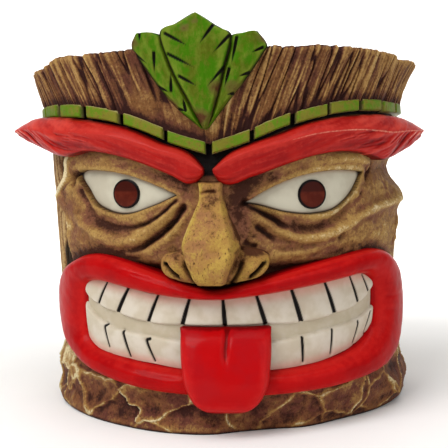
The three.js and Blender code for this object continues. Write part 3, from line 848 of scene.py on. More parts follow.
def foot():
    def facets(a, z):
        p = on_cylinder(a, z * 1.3) / 13.0
        bend = [fractal(p * 2, seed, 3, 0.6) for seed in (131, 133, 137)]
        return cells(p + 0.17 * np.stack(bend, -1), 139)

    def shape(u, v):
        a = -180 + 360 * u
        z = FOOT_TOP * v
        near, next_near, name = facets(a, z)
        ridge = 0.3 * bell((next_near - near) / 0.05)
        scoop = 0.8 * ease((next_near - near) / 0.8)
        rough = 0.5 * lumps(a, z, 4.5, 149, 2) + 0.22 * lumps(a, z, 1.6, 151)
        r = foot_radius(a, z) + ridge - scoop + 1.0 * (name - 0.3) + rough
        return a, z, mix(foot_radius(a, z), r, ease(z / 2.5))

    def paint(a, z, u, v):
        near, next_near, name = facets(a, z)
        broken = ease(0.6 + 1.0 * lumps(a, z, 4.0, 161))
        ridge = 0.75 * bell((next_near - near) / 0.045) * broken
        sole = ease((1.2 - z) / 1.2)
        left_shoulder = bell(np.hypot((a + 68) / 12, (z - 14) / 3.5))
        right_shoulder = 0.4 * bell((a - 66) / 12) * ease((z - 8) / 6)
        mottle = 0.3 * lumps(a, z, 3.5, 167) + 0.25 * lumps(a, z, 1.6, 171)
        streak = 0.4 + ridge + 0.25 * (name - 0.5) + mottle
        streak = streak + 0.9 * (left_shoulder + right_shoulder)
        return {"streak": streak - 0.5 * sole, "dark": 0.5 * sole}

    piece("rock_foot", "stone_foot", ROCK, 820, 60, shape, lining, ring=True, paint=paint)


foot()

# ---------------------------------------------------------------- trunk
# Seams between face and bark: share of the height, azimuth
SEAM_LEFT = [[0, -57], [0.36, -55.5], [0.46, -56], [0.54, -58.5], [0.626, -67.5], [0.68, -61.5],
             [0.725, -56.5], [0.785, -53.5], [1, -52]]
SEAM_RIGHT = [[0, 74], [0.35, 76], [0.6, 84], [0.8, 80], [1, 70]]


def trunk():
    tuck = 4.0  # degrees that the bark runs on under the face's edge
    width = 225  # degrees of bark, near enough for distances from the face

    def furrows(a, z):
        wander = 3.0 * lumps(a, z * 0.3, 12, 217, 2)
        return lumps(a + wander, z * 0.08, 5.0, 223, 2)

    def shape(u, v):
        a = mix(through(SEAM_RIGHT, v) - tuck, 360 + through(SEAM_LEFT, v) + tuck, u)
        z = wall_height(a, v)
        strand, split = strands(a, z, 211, 0.8, 2.2, 5.0)
        r = body(a, z) - 0.35 + 0.4 * strand - 0.5 * split - 1.3 * bell(furrows(a, z) / 0.1)
        from_end = np.minimum(u, 1 - u) * width
        tucked = 1.6 * (1 - ease(from_end / tuck / 1.6))
        return a, z, r - tucked - bell((from_end - tuck) / 6)

    def paint(a, z, u, v):
        strand, split = strands(a, z, 211, 0.8, 2.2, 5.0)
        streak = 0.5 + 0.45 * strand - 0.4 * split + 0.35 * lumps(a, z * 0.3, 6.0, 229)
        from_face = np.minimum(u, 1 - u) * width - tuck
        reach = 1.8 + 6.0 * (u > 0.5) * bell((z - 41) / 8)
        gap = 0.92 * ease((reach - from_face) / 1.2) * ease((57 - z) / 4)
        return {"streak": streak, "dark": np.maximum(under_band(a, z), gap)}

    piece("trunk_wood", "trunk_bark", BARK, 500, 190, shape, lining, paint=paint)


trunk()

# ---------------------------------------------------------------- face
LID_LEFT_UPPER = [[-47.9, 64.1], [-44, 64.9], [-39, 64.9], [-34.4, 64.7], [-26.5, 63.7],
                  [-16.4, 60.9], [-10.8, 58.9]]
LID_LEFT_LOWER = [[-47.9, 63.9], [-46.6, 62.5], [-43.2, 59.8], [-40.2, 57.0], [-34.7, 54.8],
                  [-28.5, 53.9], [-18.1, 56], [-10.8, 58.6]]
LID_RIGHT_UPPER = [[8.8, 56.9], [14.6, 59.7], [19.2, 61.4], [23.9, 62.7], [34.2, 64.1],
                   [42, 64.2], [48.4, 63.8]]
LID_RIGHT_LOWER = [[8.8, 56.7], [12.2, 56.1], [20.7, 54.2], [29.5, 53.6], [39.3, 55.6],
                   [44.5, 59.1], [48.4, 63.6]]
EYES = (LID_LEFT_UPPER, LID_LEFT_LOWER), (LID_RIGHT_UPPER, LID_RIGHT_LOWER)

LIPS_OUTER = [
    [74, 28], [69.5, 37], [59.5, 42.3], [50, 43.9], [38, 42.9], [27.4, 41.2], [10.4, 37.8],
    [-1, 35.7], [-14.7, 39.4], [-29.8, 43.2], [-40, 43.6], [-50, 41.2], [-60, 37.4], [-67, 32.6],
    [-68.5, 27], [-63, 20.6], [-53, 16.5], [-44, 13.6], [-21.8, 10.7], [2, 9.6], [26.9, 10.1],
    [45, 11.3], [58, 12.8], [68, 17.4]]

# Each line: path, width, depth (a ridge where negative), and the share that fades at each end
FACE_LINES = [
    # left eye: the valley round the socket, the bag's ridge, two creases, the corner's cut
    ([[-47.7, 61.1], [-45.5, 58], [-41.4, 54.2], [-36.8, 51.7], [-29.6, 50.1], [-22, 51.5]],
     1.5, 1.4, (0.1, 0.3)),
    ([[-57.5, 55.6], [-46.2, 52], [-36.5, 48.6], [-28.7, 47.0], [-23.5, 47.8], [-18.6, 50.6],
      [-13, 54.5], [-9.5, 57]], 1.6, -1.2, (0.2, 0.1)),
    ([[-9.7, 58.3], [-12.1, 56.3], [-14.2, 54.6], [-18.8, 52.1], [-22.1, 51.1], [-25.5, 50.5],
      [-29.5, 50.4]], 0.5, 1.2, (0.1, 0.3)),
    ([[-7.4, 56.8], [-9.5, 54.6], [-11.2, 52.4], [-15.8, 49], [-19.6, 46.9], [-22.2, 45.6],
      [-27, 44.5]], 0.75, 1.9, (0.1, 0.25)),
    ([[-24.5, 44.2], [-18.7, 45.2], [-14.1, 47.8], [-10.2, 51.7], [-7.6, 54.7]],
     1.1, -0.5, (0.2, 0.2)),
    ([[-48.6, 63.6], [-51.5, 62.3], [-56.4, 60.3], [-66, 57.6]], 0.55, 0.7, (0.02, 0.3)),
    ([[-47.4, 64.2], [-49.4, 63.4], [-50.2, 61.6]], 0.8, 1.9, (0, 0)),
    # right eye: the cut beside the nose, the ridge out to the cheek, the valley, a crease
    ([[7.1, 57.2], [9.9, 55.7], [13.2, 54.2], [16.9, 52.4], [19.3, 51.1], [23, 50.2]],
     0.95, 2.2, (0.05, 0.3)),
    ([[7, 55.9], [9.8, 54.4], [13.1, 52.7], [16.8, 50.6], [19.6, 49.1], [24.1, 47.7],
      [28.9, 47.6], [34, 48.4], [39.6, 50], [48.4, 53], [60.6, 54.9], [76, 56.3]],
     1.2, -1.3, (0.05, 0.02)),
    ([[20, 51.2], [24.7, 50], [28, 49.9], [32, 50.6], [36, 52], [41, 54.4], [46, 58]],
     1.3, 1.3, (0.15, 0.2)),
    ([[10.6, 51.5], [14, 49.3], [18, 47]], 0.65, 1.1, (0.2, 0.3)),
    ([[7.6, 47.6], [9.7, 46.4], [12, 46]], 0.9, 0.9, (0.2, 0.2)),
    ([[15.5, 44.8], [19.6, 43.8], [24.1, 44.1], [28.9, 44.6], [34, 45.7], [44, 46.5]],
     0.8, -0.6, (0.2, 0.4)),
    ([[37, 46.9], [39.5, 48.3]], 0.8, 0.6, (0.2, 0.2)),
    # the fold of the right upper lid, whose end hangs down past the eye's corner
    ([[24, 64.8], [31, 66], [36.4, 66.8], [42.3, 67], [47.7, 66.6], [52.6, 65.6], [51.4, 64.2]],
     0.9, -0.6, (0.3, 0.02)),
    ([[53.6, 67], [54.4, 64.6], [52, 62.2], [49, 59.5]], 0.9, 0.8, (0.2, 0.4)),
    ([[49, 59.5], [47, 57.2], [43.6, 55.4]], 0.6, 0.5, (0.3, 0.3)),
    ([[80, 52], [74, 47.5], [71, 43.5]], 1.0, -0.7, (0.2, 0.2)),
]

# Each patch of painted shade: azimuth, height, half sizes in degrees and millimetres, strength.
# The shade is painted beside the nose, under the brows, in the creases and valleys under the eyes,
# at the eyes' outer corners, on the right temple and under the left brow's tip. A negative
# strength paints light instead: a painted highlight on the left cheek's edge and painted light
# over the right cheek.
FACE_PAINTED_SHADE_AND_LIGHT = [
    (-8.6, 60.5, 3.6, 3.2, 0.5), (8.4, 60.0, 4.2, 3.6, 0.75), (0, 64.5, 9, 1.6, 0.4),
    (-14, 55.5, 5, 1.6, 0.25), (13, 50.5, 4.0, 2.4, 0.22), (6.6, 55, 3, 5, 0.7),
    (22, 52.6, 6, 1.5, 0.3), (-46, 59.5, 2.5, 2.2, 0.3), (-15, 63, 6, 1.5, 0.3),
    (13, 62.6, 6, 1.5, 0.35), (-53, 50.4, 3, 2, -0.5), (64, 50, 12, 8, -0.12),
    (54, 64.5, 4.5, 3.2, 0.4), (49, 60, 3.5, 3.5, 0.22), (28, 51.3, 8, 1.2, 0.25),
    (-33, 51, 7, 1.4, 0.25), (-34, 67, 22, 1.4, 0.12), (30, 66.5, 18, 1.2, 0.15),
    (-70, 62, 12, 3.5, 0.3),
]


def eye_streaks(a, z):
    """Brush strokes that run round the nearer eye, about -0.5 to 0.5."""
    middle = np.where(a < 0, -29.0, 30.0)
    x, y = (a - middle) * ARC, (z - 59) * 1.5
    turn = np.arctan2(y, x)
    p = np.stack([np.hypot(x, y) / 0.8, np.cos(turn) * 2.6, np.sin(turn) * 2.6 + np.sign(a) * 9], -1)
    return 0.5 * fractal(p, 331, 3)


def within_lids(a, z, upper, lower):
    """Distance inside the opening of an eye, in millimetres; negative outside."""
    gap = np.minimum(through(upper, a) - z, z - through(lower, a))
    ends = np.minimum(a - upper[0][0], upper[-1][0] - a) * ARC
    return np.minimum(gap, ends + 0.2)


def cheeks(a, z):
    """The broad forms under the creases."""
    r = 1.5 * bell((a + 43) / 16) * bell((z - 47) / 4.4)
    r = r + 0.9 * bell((a - 48) / 20) * bell((z - 47.5) / 5)
    r = r + 2.0 * bell(a / 12) * bell((z - 52) / 11)
    r = r + 1.0 * bell((z - 67.4) / 2.4) * ease((np.abs(a) - 6) / 8)
    r = r + 2.0 * ease((a - 60) / 16) * bell((z - 56.6) / 3.2)
    r = r + 0.7 * ease((-a - 50) / 14) * bell((z - 57.3) / 3.4)
    r = r + 0.8 * ease((-a - 46) / 8) * window(z, 58, 3, 71, 3)
    r = r - 1.2 * ease((a - 46) / 8) * bell((z - 64.5) / 3.5)
    return r - 1.8 * bell((z - 75) / 6) * ease((13 - np.abs(a + 1)) / 9)


def face_streak_and_painted_light(a, z):
    """How light the paint is: darker in the patches of painted shade and round the lips, with a
    painted highlight on the left temple and painted light over the right side.
    """
    streak = 0.46 + 0.22 * eye_streaks(a, z) + 0.22 * lumps(a, z, 5, 341)
    # Patches of painted shade, and of painted light where the strength is negative.
    for wa, wz, half_a, half_z, strength in FACE_PAINTED_SHADE_AND_LIGHT:
        streak = streak - strength * bell(np.hypot((a - wa) / half_a, (z - wz) / half_z))
    # A painted highlight along the left temple's edge, the facet that faces the lamp on the left.
    temple = [[-50.8, 70], [-51.6, 68.2], [-54.0, 64], [-60, 60.6], [-68, 57.2]]
    pale = ease((a + 72) / 10) * bell(near_path(a, z, temple, 4)[0] / 1.2)
    lip = near_path(a, z, LIPS_OUTER + LIPS_OUTER[:1], reach=4)[0]
    # The right side is painted lighter, as painted light. Round the lips the face is darker: dark wash
    # with painted shade beside the raised lips.
    return streak + 1.5 * pale + 0.2 * ease((a - 14) / 14) - 0.75 * bell(lip / 1.7)


def face_ink(a, z):
    """Black under the band, between the brows, in the lids and down the deep narrow creases."""
    between_brows = ease((10.5 - np.abs(a + 0.6) * 1.6) / 1.5) * ease((z - 62.8) / 0.8)
    ink = np.maximum(under_band(a, z), between_brows)
    for upper, lower in EYES:
        inside = within_lids(a, z, upper, lower)
        nearer_low = z < (through(upper, a) + through(lower, a)) / 2
        ink = np.maximum(ink, np.where(nearer_low, 0.9, 0.6) * ease((inside + 0.22) / 0.25))
    for path, width, depth, (start, end) in FACE_LINES:
        if depth > 1.0 and width < 1.0:
            line, along = near_path(a, z, path, reach=3)
            ends = fading(along, start + 0.05, end + 0.1)
            ink = np.maximum(ink, 0.75 * ends * bell(line / (0.55 * width)))
    return ink


def face():
    def shape(u, v):
        seam_left, seam_right = through(SEAM_LEFT, v), through(SEAM_RIGHT, v)
        a = mix(seam_left, seam_right, u)
        z = wall_height(a, v)
        p = on_cylinder(a, z)
        r = carve_all(body(a, z) - 0.2 + cheeks(a, z), a, z, FACE_LINES)
        r = r + 0.3 * fractal(p / 4.5, 311, 3) + 0.34 * fractal(p / [2.4, 2.4, 1.1], 321, 4, 0.6)
        r = r + 0.08 * eye_streaks(a, z)
        for lids in EYES:
            inside = within_lids(a, z, *lids)
            r = r + 0.25 * bell((inside + 0.7) / 0.5)
            r = mix(r, SOCKET_FLOOR, ease((inside + 0.1) / 0.4))
        mouth = np.cbrt(np.abs((a - 4.5) / 58) ** 3 + np.abs((z - 27) / 14.5) ** 3)
        r = mix(r, MOUTH_FLOOR, ease((1.12 - mouth) / 0.25))
        from_edge = np.minimum(a - seam_left, seam_right - a) * ARC
        bevel = 1.2 + 2.4 * bell((z - 62) / 5) * (a < 0)
        return a, z, r - 2.0 * (1 - ease(from_edge / bevel)) ** 1.6

    def paint(a, z, u, v):
        return {"streak": face_streak_and_painted_light(a, z), "dark": face_ink(a, z)}

    piece("face_skin", "face_panel", SKIN, 420, 230, shape, lining, paint=paint)


face()

# ---------------------------------------------------------------- brows
BROW_LEFT_UPPER = [[-80.5, 76.0], [-76, 77.7], [-69, 79.0], [-51.1, 78.8], [-37, 77.3],
                   [-24.2, 75.1], [-15, 71.7], [-4.2, 67.0], [-2.6, 65.2]]
BROW_LEFT_LOWER = [[-80.5, 75.3], [-74.1, 73.3], [-66, 71.8], [-57.6, 70.1], [-49, 68.5],
                   [-45, 68.8], [-40, 69.6], [-28.7, 68.6], [-19.5, 66.3], [-11.4, 63.4],
                   [-6.3, 61.4], [-3.5, 62.6], [-2.6, 63.6]]
BROW_RIGHT_UPPER = [[0, 65.2], [2.9, 67.8], [10.4, 71.1], [18, 73.3], [26.1, 75.8], [35.3, 77.3],
                    [46.3, 78.2], [63.2, 78.4], [74, 77.4], [82, 75.9]]
BROW_RIGHT_LOWER = [[0, 63.8], [1, 62.2], [2.5, 61.4], [10.3, 62.9], [18.1, 65.3], [26.4, 67.5],
                    [35.6, 68.8], [43.9, 68.6], [50.6, 67.4], [55.3, 66.7], [59, 67.2],
                    [65.1, 68.6], [74, 70.6], [82, 73.4]]


def brow(name, node, upper, lower, on_left, tip_swell, tip_reach):
    """A heavy brow: a front that leans back to its lower edge, and a bevel along the top. Both
    meet at a crest. t runs from 0 at the inner end to 1 at the tip."""
    start, end = upper[0][0], upper[-1][0]

    def tipward(u):
        return 1 - u if on_left else u

    def crest_at(t):
        return mix(0.8, 0.6, ease(t / 0.5))

    def front_lines(t, v):
        """Tool marks: along the brow at its inner end, slanting across it towards the tip."""
        slant = 2 * t + 13 * t**3
        p = np.stack([t * 6 + v, v * 6 - slant, 0 * v], -1)
        return 1.3 * fractal(p, 411, 3, 0.7) * mix(0.35, 1, ease((t - 0.2) / 0.4))

    def shape(u, v):
        a = mix(start, end, u)
        z = mix(through(lower, a), through(upper, a), v)
        t = tipward(u)
        crest = crest_at(t)
        below = np.clip(v / crest, 0, 1)
        front = mix(0.62, 1, below) * mix(0.4, 1, rounded(below / 0.35))
        bevel = 1 - 0.6 * np.clip((v - crest) / (1 - crest), 0, 1) ** 1.5
        profile = np.where(v < crest, front, bevel) * mix(0.45, 1, rounded((1 - v) / 0.07))
        swell = mix(4.2, tip_swell, ease(t * 1.2)) * mix(0.4, 1, rounded((1 - t) / 0.05))
        r = round_body(a, z) + 0.2 + swell * profile + tip_reach * t**4
        r = r + 0.5 * front_lines(t, v) * ease(v * 8) * mix(0.3, 1, ease((crest - v) * 8 + 0.5))
        return a, z, r + 0.12 * lumps(a, z, 3, 421)

    def paint(a, z, u, v):
        t = tipward(u)
        crest = crest_at(t)
        lines = front_lines(t, v)
        below_crest = ease((crest - v) / 0.08 + 0.5)
        inner_low = 0.5 * ease((0.16 - t) / 0.16) * ease((0.4 - v) / 0.4)
        # Painted highlight: the top bevel is painted lighter, where light from above falls on it.
        bevel = 0.35 * ease((v - crest) / 0.1) * ease((t - 0.2) / 0.2)
        line = (0.45 if on_left else 0.75) * bell((v - crest) / 0.035) * ease((t - 0.12) / 0.2)
        scuffs = 0.8 * ease((lines - 0.4) / 0.4) * ease((t - 0.5) / 0.3) * below_crest
        tip = 0.8 * ease((t - 0.9) / 0.07) * ease((v - 0.2) / 0.2)
        bare = (1.0 if on_left else 0) * ease((t - 0.84) / 0.08) * ease((0.42 - v) / 0.3)
        return {"worn": np.maximum(np.maximum(line, scuffs), tip), "bare": bare,
                "strokes_and_highlight": lines * mix(0.4, 1, below_crest) - inner_low + bevel}

    piece(name, node, BROW_RED, 420, 72, shape, lambda a, z: round_body(a, z) - 1.0,
          paint=paint)


brow("brow_on_left", "brow_left", BROW_LEFT_UPPER, BROW_LEFT_LOWER, True, 6.0, 5.0)
brow("brow_on_right", "brow_right", BROW_RIGHT_UPPER, BROW_RIGHT_LOWER, False, 4.6, 4.2)

# ---------------------------------------------------------------- eyes


def eye(name, node, upper, lower):
    start, end = upper[0][0] - 0.4, upper[-1][0] + 0.4

    def shape(u, v):
        a = mix(start, end, u)
        z = mix(through(lower, a) - 0.25, through(upper, a) + 0.25, v)
        ball = bell((u - 0.5) / 0.75) * (1 - 0.45 * (2 * v - 1) ** 2)
        return a, z, EYE_RADIUS + 1.1 * ball + 0.03 * lumps(a, z, 2, 511, 2)

    def paint(a, z, u, v):
        depth = within_lids(a, z, upper, lower)
        under = 0.9 * ease((0.5 - (z - through(lower, a))) / 0.35)
        # Painted shadow: the eye's outer corner, under the lid, is inked dark along with the line
        # under the eye.
        shadow_at_outer_corner = ease((2.6 - np.abs(a - (start if start < 0 else end)) * ARC) / 1.6)
        return {"ink": np.maximum(under, shadow_at_outer_corner), "shade": 0.75 * ease(1.0 - depth)}

    piece(name, node, EYE, 150, 50, shape, lambda a, z: 45.8 + 0 * a, paint=paint)


def iris(name, node, middle_a, middle_z, half_a, half_z):
    def shape(u, v):
        turn = -2 * math.pi * u
        reach = 1 - v * 0.995
        a = middle_a + half_a * reach * np.cos(turn)
        z = middle_z + half_z * reach * np.sin(turn)
        return a, z, IRIS_RADIUS + 0.45 * np.sqrt(1 - 0.9 * reach**4)

    def paint(a, z, u, v):
        return {"ink": 1 - ease((v - 0.1) / 0.07), "shade": ease((z - middle_z - 0.2) / 0.8)}

    piece(name, node, IRIS, 96, 24, shape, lambda a, z: 47.6 + 0 * a, ring=True,
          paint=paint)


eye("eye_on_left", "eye_left", *EYES[0])
eye("eye_on_right", "eye_right", *EYES[1])
iris("iris_on_left", "iris_left", -27.2, 59.0, 4.75, 3.65)
iris("iris_on_right", "iris_right", 28.9, 58.4, 4.65, 3.65)

# ---------------------------------------------------------------- nose
# Half outlines of the nose: height, azimuth
NOSE_LEFT = [[36.6, -2.4], [37.4, -6.5], [38.4, -11.2], [39.6, -14], [41.5, -15.5], [43.2, -15.3],
             [44.5, -14], [45.1, -11], [48, -9.2], [51.4, -7.5], [54.7, -5.8], [57.6, -4.6],
             [62.2, -4.8]]
NOSE_RIGHT = [[36.6, 2], [37.6, 6.3], [38.6, 11], [40.5, 14.4], [42.9, 15.6], [44.6, 14.9],
              [45.6, 12.4], [46.2, 9], [48.6, 8.2], [51, 6.7], [54, 4.8], [57.5, 3.4],
              [62.2, 2.8]]
# How far the nose stands out, and half the width of its flat front: height, millimetres
NOSE_RIDGE = [[36.6, 4], [38, 7.2], [41, 9.0], [45, 8.8], [49, 7.6], [54, 5.2], [58, 3.6],
              [60, 3.0], [62.2, 3.3]]
NOSE_WIDTH = [[36.6, 4.2], [38.5, 5.4], [41, 6.6], [44, 8.2], [46.5, 8.9], [50, 7.7], [54, 5.8],
              [58, 4.4], [62.2, 4.4]]
# The bridge's wrinkle and scar, and the ridge of the left edge
NOSE_LINES = [
    ([[-3.6, 58.8], [-2.5, 59.5], [-0.8, 59.7], [1.2, 59.5]], 0.4, 0.9, (0.1, 0.2)),
    ([[-2.8, 56.8], [-1.6, 56.1]], 0.4, 0.4),
    ([[-8.2, 45], [-6.9, 49.5], [-5.2, 54], [-4.0, 57.5]], 0.7, -0.6, (0.15, 0.2))]


def nose():
    tip, top, wing_a = 36.6, 62.2, 10.4
    nostrils = [[[side * 13.2, 42.6], [side * 11.4, 41.2], [side * 9.0, 39.0]]
                for side in (-1, 1)]
    wing_cuts = [[[side * 7.4, 43.6], [side * 6.6, 41.2], [side * 5.2, 38.6], [side * 4.4, 37.3]]
                 for side in (-1, 1)]

    def shape(u, v):
        z = mix(tip, top, v)
        left, right = through(NOSE_LEFT, z), through(NOSE_RIGHT, z)
        a = mix(left, right, u)
        low = body(a, z) + 0.2
        x = (a + 0.8) / through(NOSE_WIDTH, z)
        # a flat front that turns sharply along its left edge and more gently on the right
        plane = np.where(x < 0, 1 - ease((-x - 0.62) / 0.38), 1 - ease((x - 0.5) / 0.5))
        bulb = through(NOSE_RIDGE, z) * plane * (1 + 0.04 * x)
        # each wing is a mound round its middle at wing_a, steeper outwards
        inward = np.clip(wing_a - np.abs(a), 0, 10)
        outward = np.clip(np.abs(a) - wing_a, 0, 10)
        wing = 5.4 * bell(outward / 4.4) * bell(inward / 9) * bell((z - 41.3 + 0.22 * inward) / 3.5)
        r = low + np.maximum(bulb, wing)
        r = carve_all(r, a, z, [(path, 0.5, 2.4, (0.15, 0.1)) for path in nostrils])
        r = carve_all(r, a, z, [(path, 0.45, 2.0, (0.2, 0.05)) for path in wing_cuts])
        r = carve_all(r, a, z, NOSE_LINES)
        side = np.minimum(u, 1 - u) * (right - left) * ARC
        rim = np.minimum(side, np.minimum(z - tip, top - z) * 1.2)
        r = mix(low - 0.5, r + 0.4, ease(rim / 1.1) ** 0.7)
        return a, z, r + 0.28 * lumps(a, z, 1.3, 611) + 0.25 * lumps(a, z, 3.5, 613, 2)

    def paint(a, z, u, v):
        ink = 0 * a
        for path in nostrils:
            ink = np.maximum(ink, bell(near_path(a, z, path)[0] / 0.42))
        for path in wing_cuts:
            inked = [np.mean(path[:2], axis=0), *path[1:]]
            ink = np.maximum(ink, 0.85 * bell(near_path(a, z, inked)[0] / 0.38))
        edge = near_path(a, z, [[-8.6, 44], [-7.0, 49.5], [-5.2, 54], [-4.0, 57.5], [-3.6, 61]])[0]
        flank = ease((a - 3.0 - 0.42 * (54 - z) * (z < 54)) / 2.4) * ease((61 - z) / 6)
        left_flank = ease((-a - 6.5 - 0.3 * (52 - z)) / 2.5) * ease((z - 44) / 3)
        shadow = 1.1 * flank * ease((z - 43) / 3) + 0.4 * left_flank + 0.32 * ease((z - 55) / 3)
        streak = 0.42 + 0.6 * bell(edge / 0.8) - shadow + 0.4 * lumps(a, z, 2.5, 617)
        return {"streak": streak, "dark": ink}

    piece("nose_carved", "nose", NOSE, 150, 150, shape,
          lambda a, z: body(a, z) - 1.4, paint=paint)


nose()

# ---------------------------------------------------------------- mouth
LIPS_INNER = [
    [52, 29], [51.6, 34.4], [48.6, 37], [44, 37.3], [36, 36.6], [27.4, 35.7], [10.4, 33.9],
    [-1, 33.2], [-13, 33.7], [-26.4, 35.3], [-33, 36.2], [-38.6, 36.5], [-42, 35.6], [-43.3, 32],
    [-43.4, 27], [-42.6, 22], [-38.5, 19.3], [-31, 18.1], [-16, 16.6], [2, 15.6], [22, 15.9],
    [36, 17.5], [45, 20], [50.8, 23.6]]
LIP_LINES = [
    ([[-30, 41], [-18, 38.6], [-6, 36], [4, 35.6], [16, 37.4]], 0.5, 0.22),
    ([[14, 38.6], [26, 40.2], [40, 42.3]], 0.5, 0.2),
    ([[54, 31], [62, 30.6], [70, 31.4]], 0.6, 0.14),
    ([[55, 27.4], [62, 26.6], [69, 27]], 0.6, 0.1),
    ([[-30, 17], [-16, 14.6], [-9, 14]], 0.6, 0.2)]


def under_lips(a, z):
    """The carved surface that the lips are laid on."""
    ground = body(a, z) - 0.2
    return np.where(z < FOOT_TOP, np.maximum(ground, foot_radius(a, z)), ground)


def lips():
    def shape(u, v):
        (oa, oz), (ia, iz) = closed_path(LIPS_OUTER, u), closed_path(LIPS_INNER, u)
        a, z = mix(oa, ia, v), mix(oz, iz, v)
        aside = np.where(a > 4, 1.6, 2.8) * ((a - 4) / 68) ** 2
        pressed = 1.8 * bell((a - 2.8) / 13) * ease((22 - z) / 4)
        front = LIP_RADIUS - aside - pressed + 0.7 * lean(a, z)
        edge = mix(under_lips(oa, oz) - 0.3, 48.4, ease(v))
        full = 1 - np.abs(2 * v ** 0.9 - 1) ** 2.6
        r = mix(edge, front, np.sqrt(np.clip(full, 0, 1))) + 0.14 * lumps(a, z, 7, 711)
        return a, z, carve_all(r, a, z, LIP_LINES) + 0.08 * lumps(a, z, 1.8, 717, 2)

    piece("lips_full", "lips", LIP_RED, 720, 44, shape, lambda a, z: 46.6 + 0 * a,
          ring=True)


lips()

UPPER_GUM = [[-44.4, 36], [-42, 36.6], [-36.4, 36.6], [-26.4, 35.6], [-17.5, 34.1], [-8.5, 33.7],
             [2.4, 33.4], [10.4, 34], [18.6, 34.8], [27.4, 36], [40, 37.3], [48, 37.5],
             [52.8, 36.4]]
UPPER_BITE = [[-44.4, 34], [-42, 32], [-38, 30.4], [-30.2, 28.8], [-19.7, 27.1], [-9.5, 26.8],
              [2.4, 26.8], [13.7, 26.9], [24.2, 26.8], [35.9, 28.1], [45, 29.8], [49, 31.4],
              [52.8, 34]]
LOWER_BITE = [[-44.4, 31], [-40, 28], [-35.9, 26], [-28.1, 24.5], [-18.6, 23.9], [-10, 23],
              [16, 22.7], [24.2, 23.5], [34.4, 24.7], [44.6, 26], [52.8, 28.8]]
LOWER_GUM = [[-44.4, 22], [-39.7, 19.1], [-26.9, 17.5], [-18, 16.8], [-11, 16.1], [15.9, 15.3],
             [27.2, 15.9], [37.4, 17.7], [46.6, 20], [54.5, 23.6]]
# Each line between two teeth: path, width
UPPER_GAPS = [
    ([[-34.7, 36.9], [-37.8, 30.7]], 0.6), ([[-26.6, 35.7], [-30, 29.2]], 0.9),
    ([[-16.8, 34.3], [-19.6, 27.5]], 0.72), ([[-7.5, 33.4], [-9.4, 27.1]], 0.84),
    ([[2, 33.2], [2.5, 27.1]], 0.9), ([[11.6, 33.8], [13.8, 27.2]], 0.9),
    ([[22, 34.8], [24.4, 27.1]], 1.0), ([[32.8, 36.4], [35.6, 28.4]], 0.9),
    ([[42.6, 37], [45.2, 29.8]], 0.65), ([[48.2, 37], [50, 32.6]], 0.5)]
LOWER_GAPS = [
    ([[-34.7, 25.4], [-35.3, 24.5], [-34.2, 19.8]], 0.55), ([[-28.3, 24.2], [-26.4, 18]], 0.6),
    ([[-19.2, 23.1], [-20.2, 22.3], [-18.2, 17.5]], 0.6), ([[24.6, 23], [25.2, 16.9]], 0.6),
    ([[34.6, 24.2], [34.6, 18]], 0.45), ([[44.9, 25.2], [45, 24.2], [43.6, 19.8]], 0.5),
    ([[51, 27], [48.6, 21.8]], 0.45)]


def teeth(name, node, start, end, bite, gum, gaps, groove, columns):
    """A row of teeth between two azimuths. groove is how far the row runs on past its bite, as
    the sunk strip between the rows."""
    upward = 1 if bite is LOWER_BITE else -1  # the way in which the teeth bite

    def below_bite(a, z):
        """Distance inside the biting edge, as a share of the tooth and in millimetres; both are
        negative in the groove."""
        inside = (through(bite, a) - z) * upward
        return inside / np.abs(through(bite, a) - through(gum, a)), inside

    def shape(u, v):
        a = mix(start, end, u)
        along = v if upward == 1 else 1 - v
        z = mix(through(gum, a), through(bite, a) + upward * groove, along)
        share, from_bite = below_bite(a, z)
        front = TOOTH_RADIUS - 0.9 * share**2
        r = mix(GROOVE_RADIUS, front, rounded(from_bite / 0.8))
        for gap, width in gaps:
            r = carve(r, a, z, gap, width * 0.9, 0.55, (0, 0))
            r = carve(r, a, z, gap, 2.6, 0.22, (0, 0))
        to_end = np.minimum(u, 1 - u) * (end - start) * ARC
        return a, z, r - 1.6 * (1 - np.clip(to_end / 1.6, 0, 1)) ** 2

    def paint(a, z, u, v):
        ink = 0 * a
        for gap, width in gaps:
            distance, along = near_path(a, z, gap)
            to_bite = 1 - along if upward == 1 else along
            half = 0.62 * width * mix(0.75, 1.05, ease(to_bite / 0.6))
            ink = np.maximum(ink, ease((half - distance) / 0.2 + 0.5))
        share, from_bite = below_bite(a, z)
        return {"ink": ink, "gum": 0.6 * ease((share - 0.6) / 0.4),
                "groove": 0.6 * ease((0.3 - from_bite) / 0.8)}

    piece(name, node, TOOTH, columns, 56, shape, lambda a, z: 46.0 + 0 * a, paint=paint)


teeth("teeth_above", "upper_teeth", -44.8, 53.4, UPPER_BITE, UPPER_GUM, UPPER_GAPS, 0.3, 460)
teeth("teeth_below_left", "lower_teeth_left", -44.8, -8.2, LOWER_BITE, LOWER_GUM, LOWER_GAPS,
      5.0, 180)
teeth("teeth_below_right", "lower_teeth_right", 13.6, 53.6, LOWER_BITE, LOWER_GUM, LOWER_GAPS,
      5.0, 190)

# Half the tongue's width in degrees, and its radius: height, value
TONGUE_HALF = [[5.6, 2.2], [6.1, 4.6], [6.8, 6.2], [8.2, 8.3], [11, 10.3], [17.6, 11.9],
               [26.6, 12.4]]
TONGUE_CREST = [[5.6, 54.0], [7, 56.2], [10, 57.1], [15.5, 57], [20.5, 55.6], [24.6, 53.8],
                [26.6, 51.8]]
# The crease, and the swollen sides
TONGUE_LINES = [
    ([[3.2, 26.6], [2.6, 21.5], [2.4, 16.5]], 0.7, 0.8, (0, 0.6)),
    ([[-4.9, 26], [-5.4, 13], [0, 8.2]], 1.6, -0.25),
    ([[11, 26], [11.1, 13], [6, 8.2]], 1.6, -0.25)]


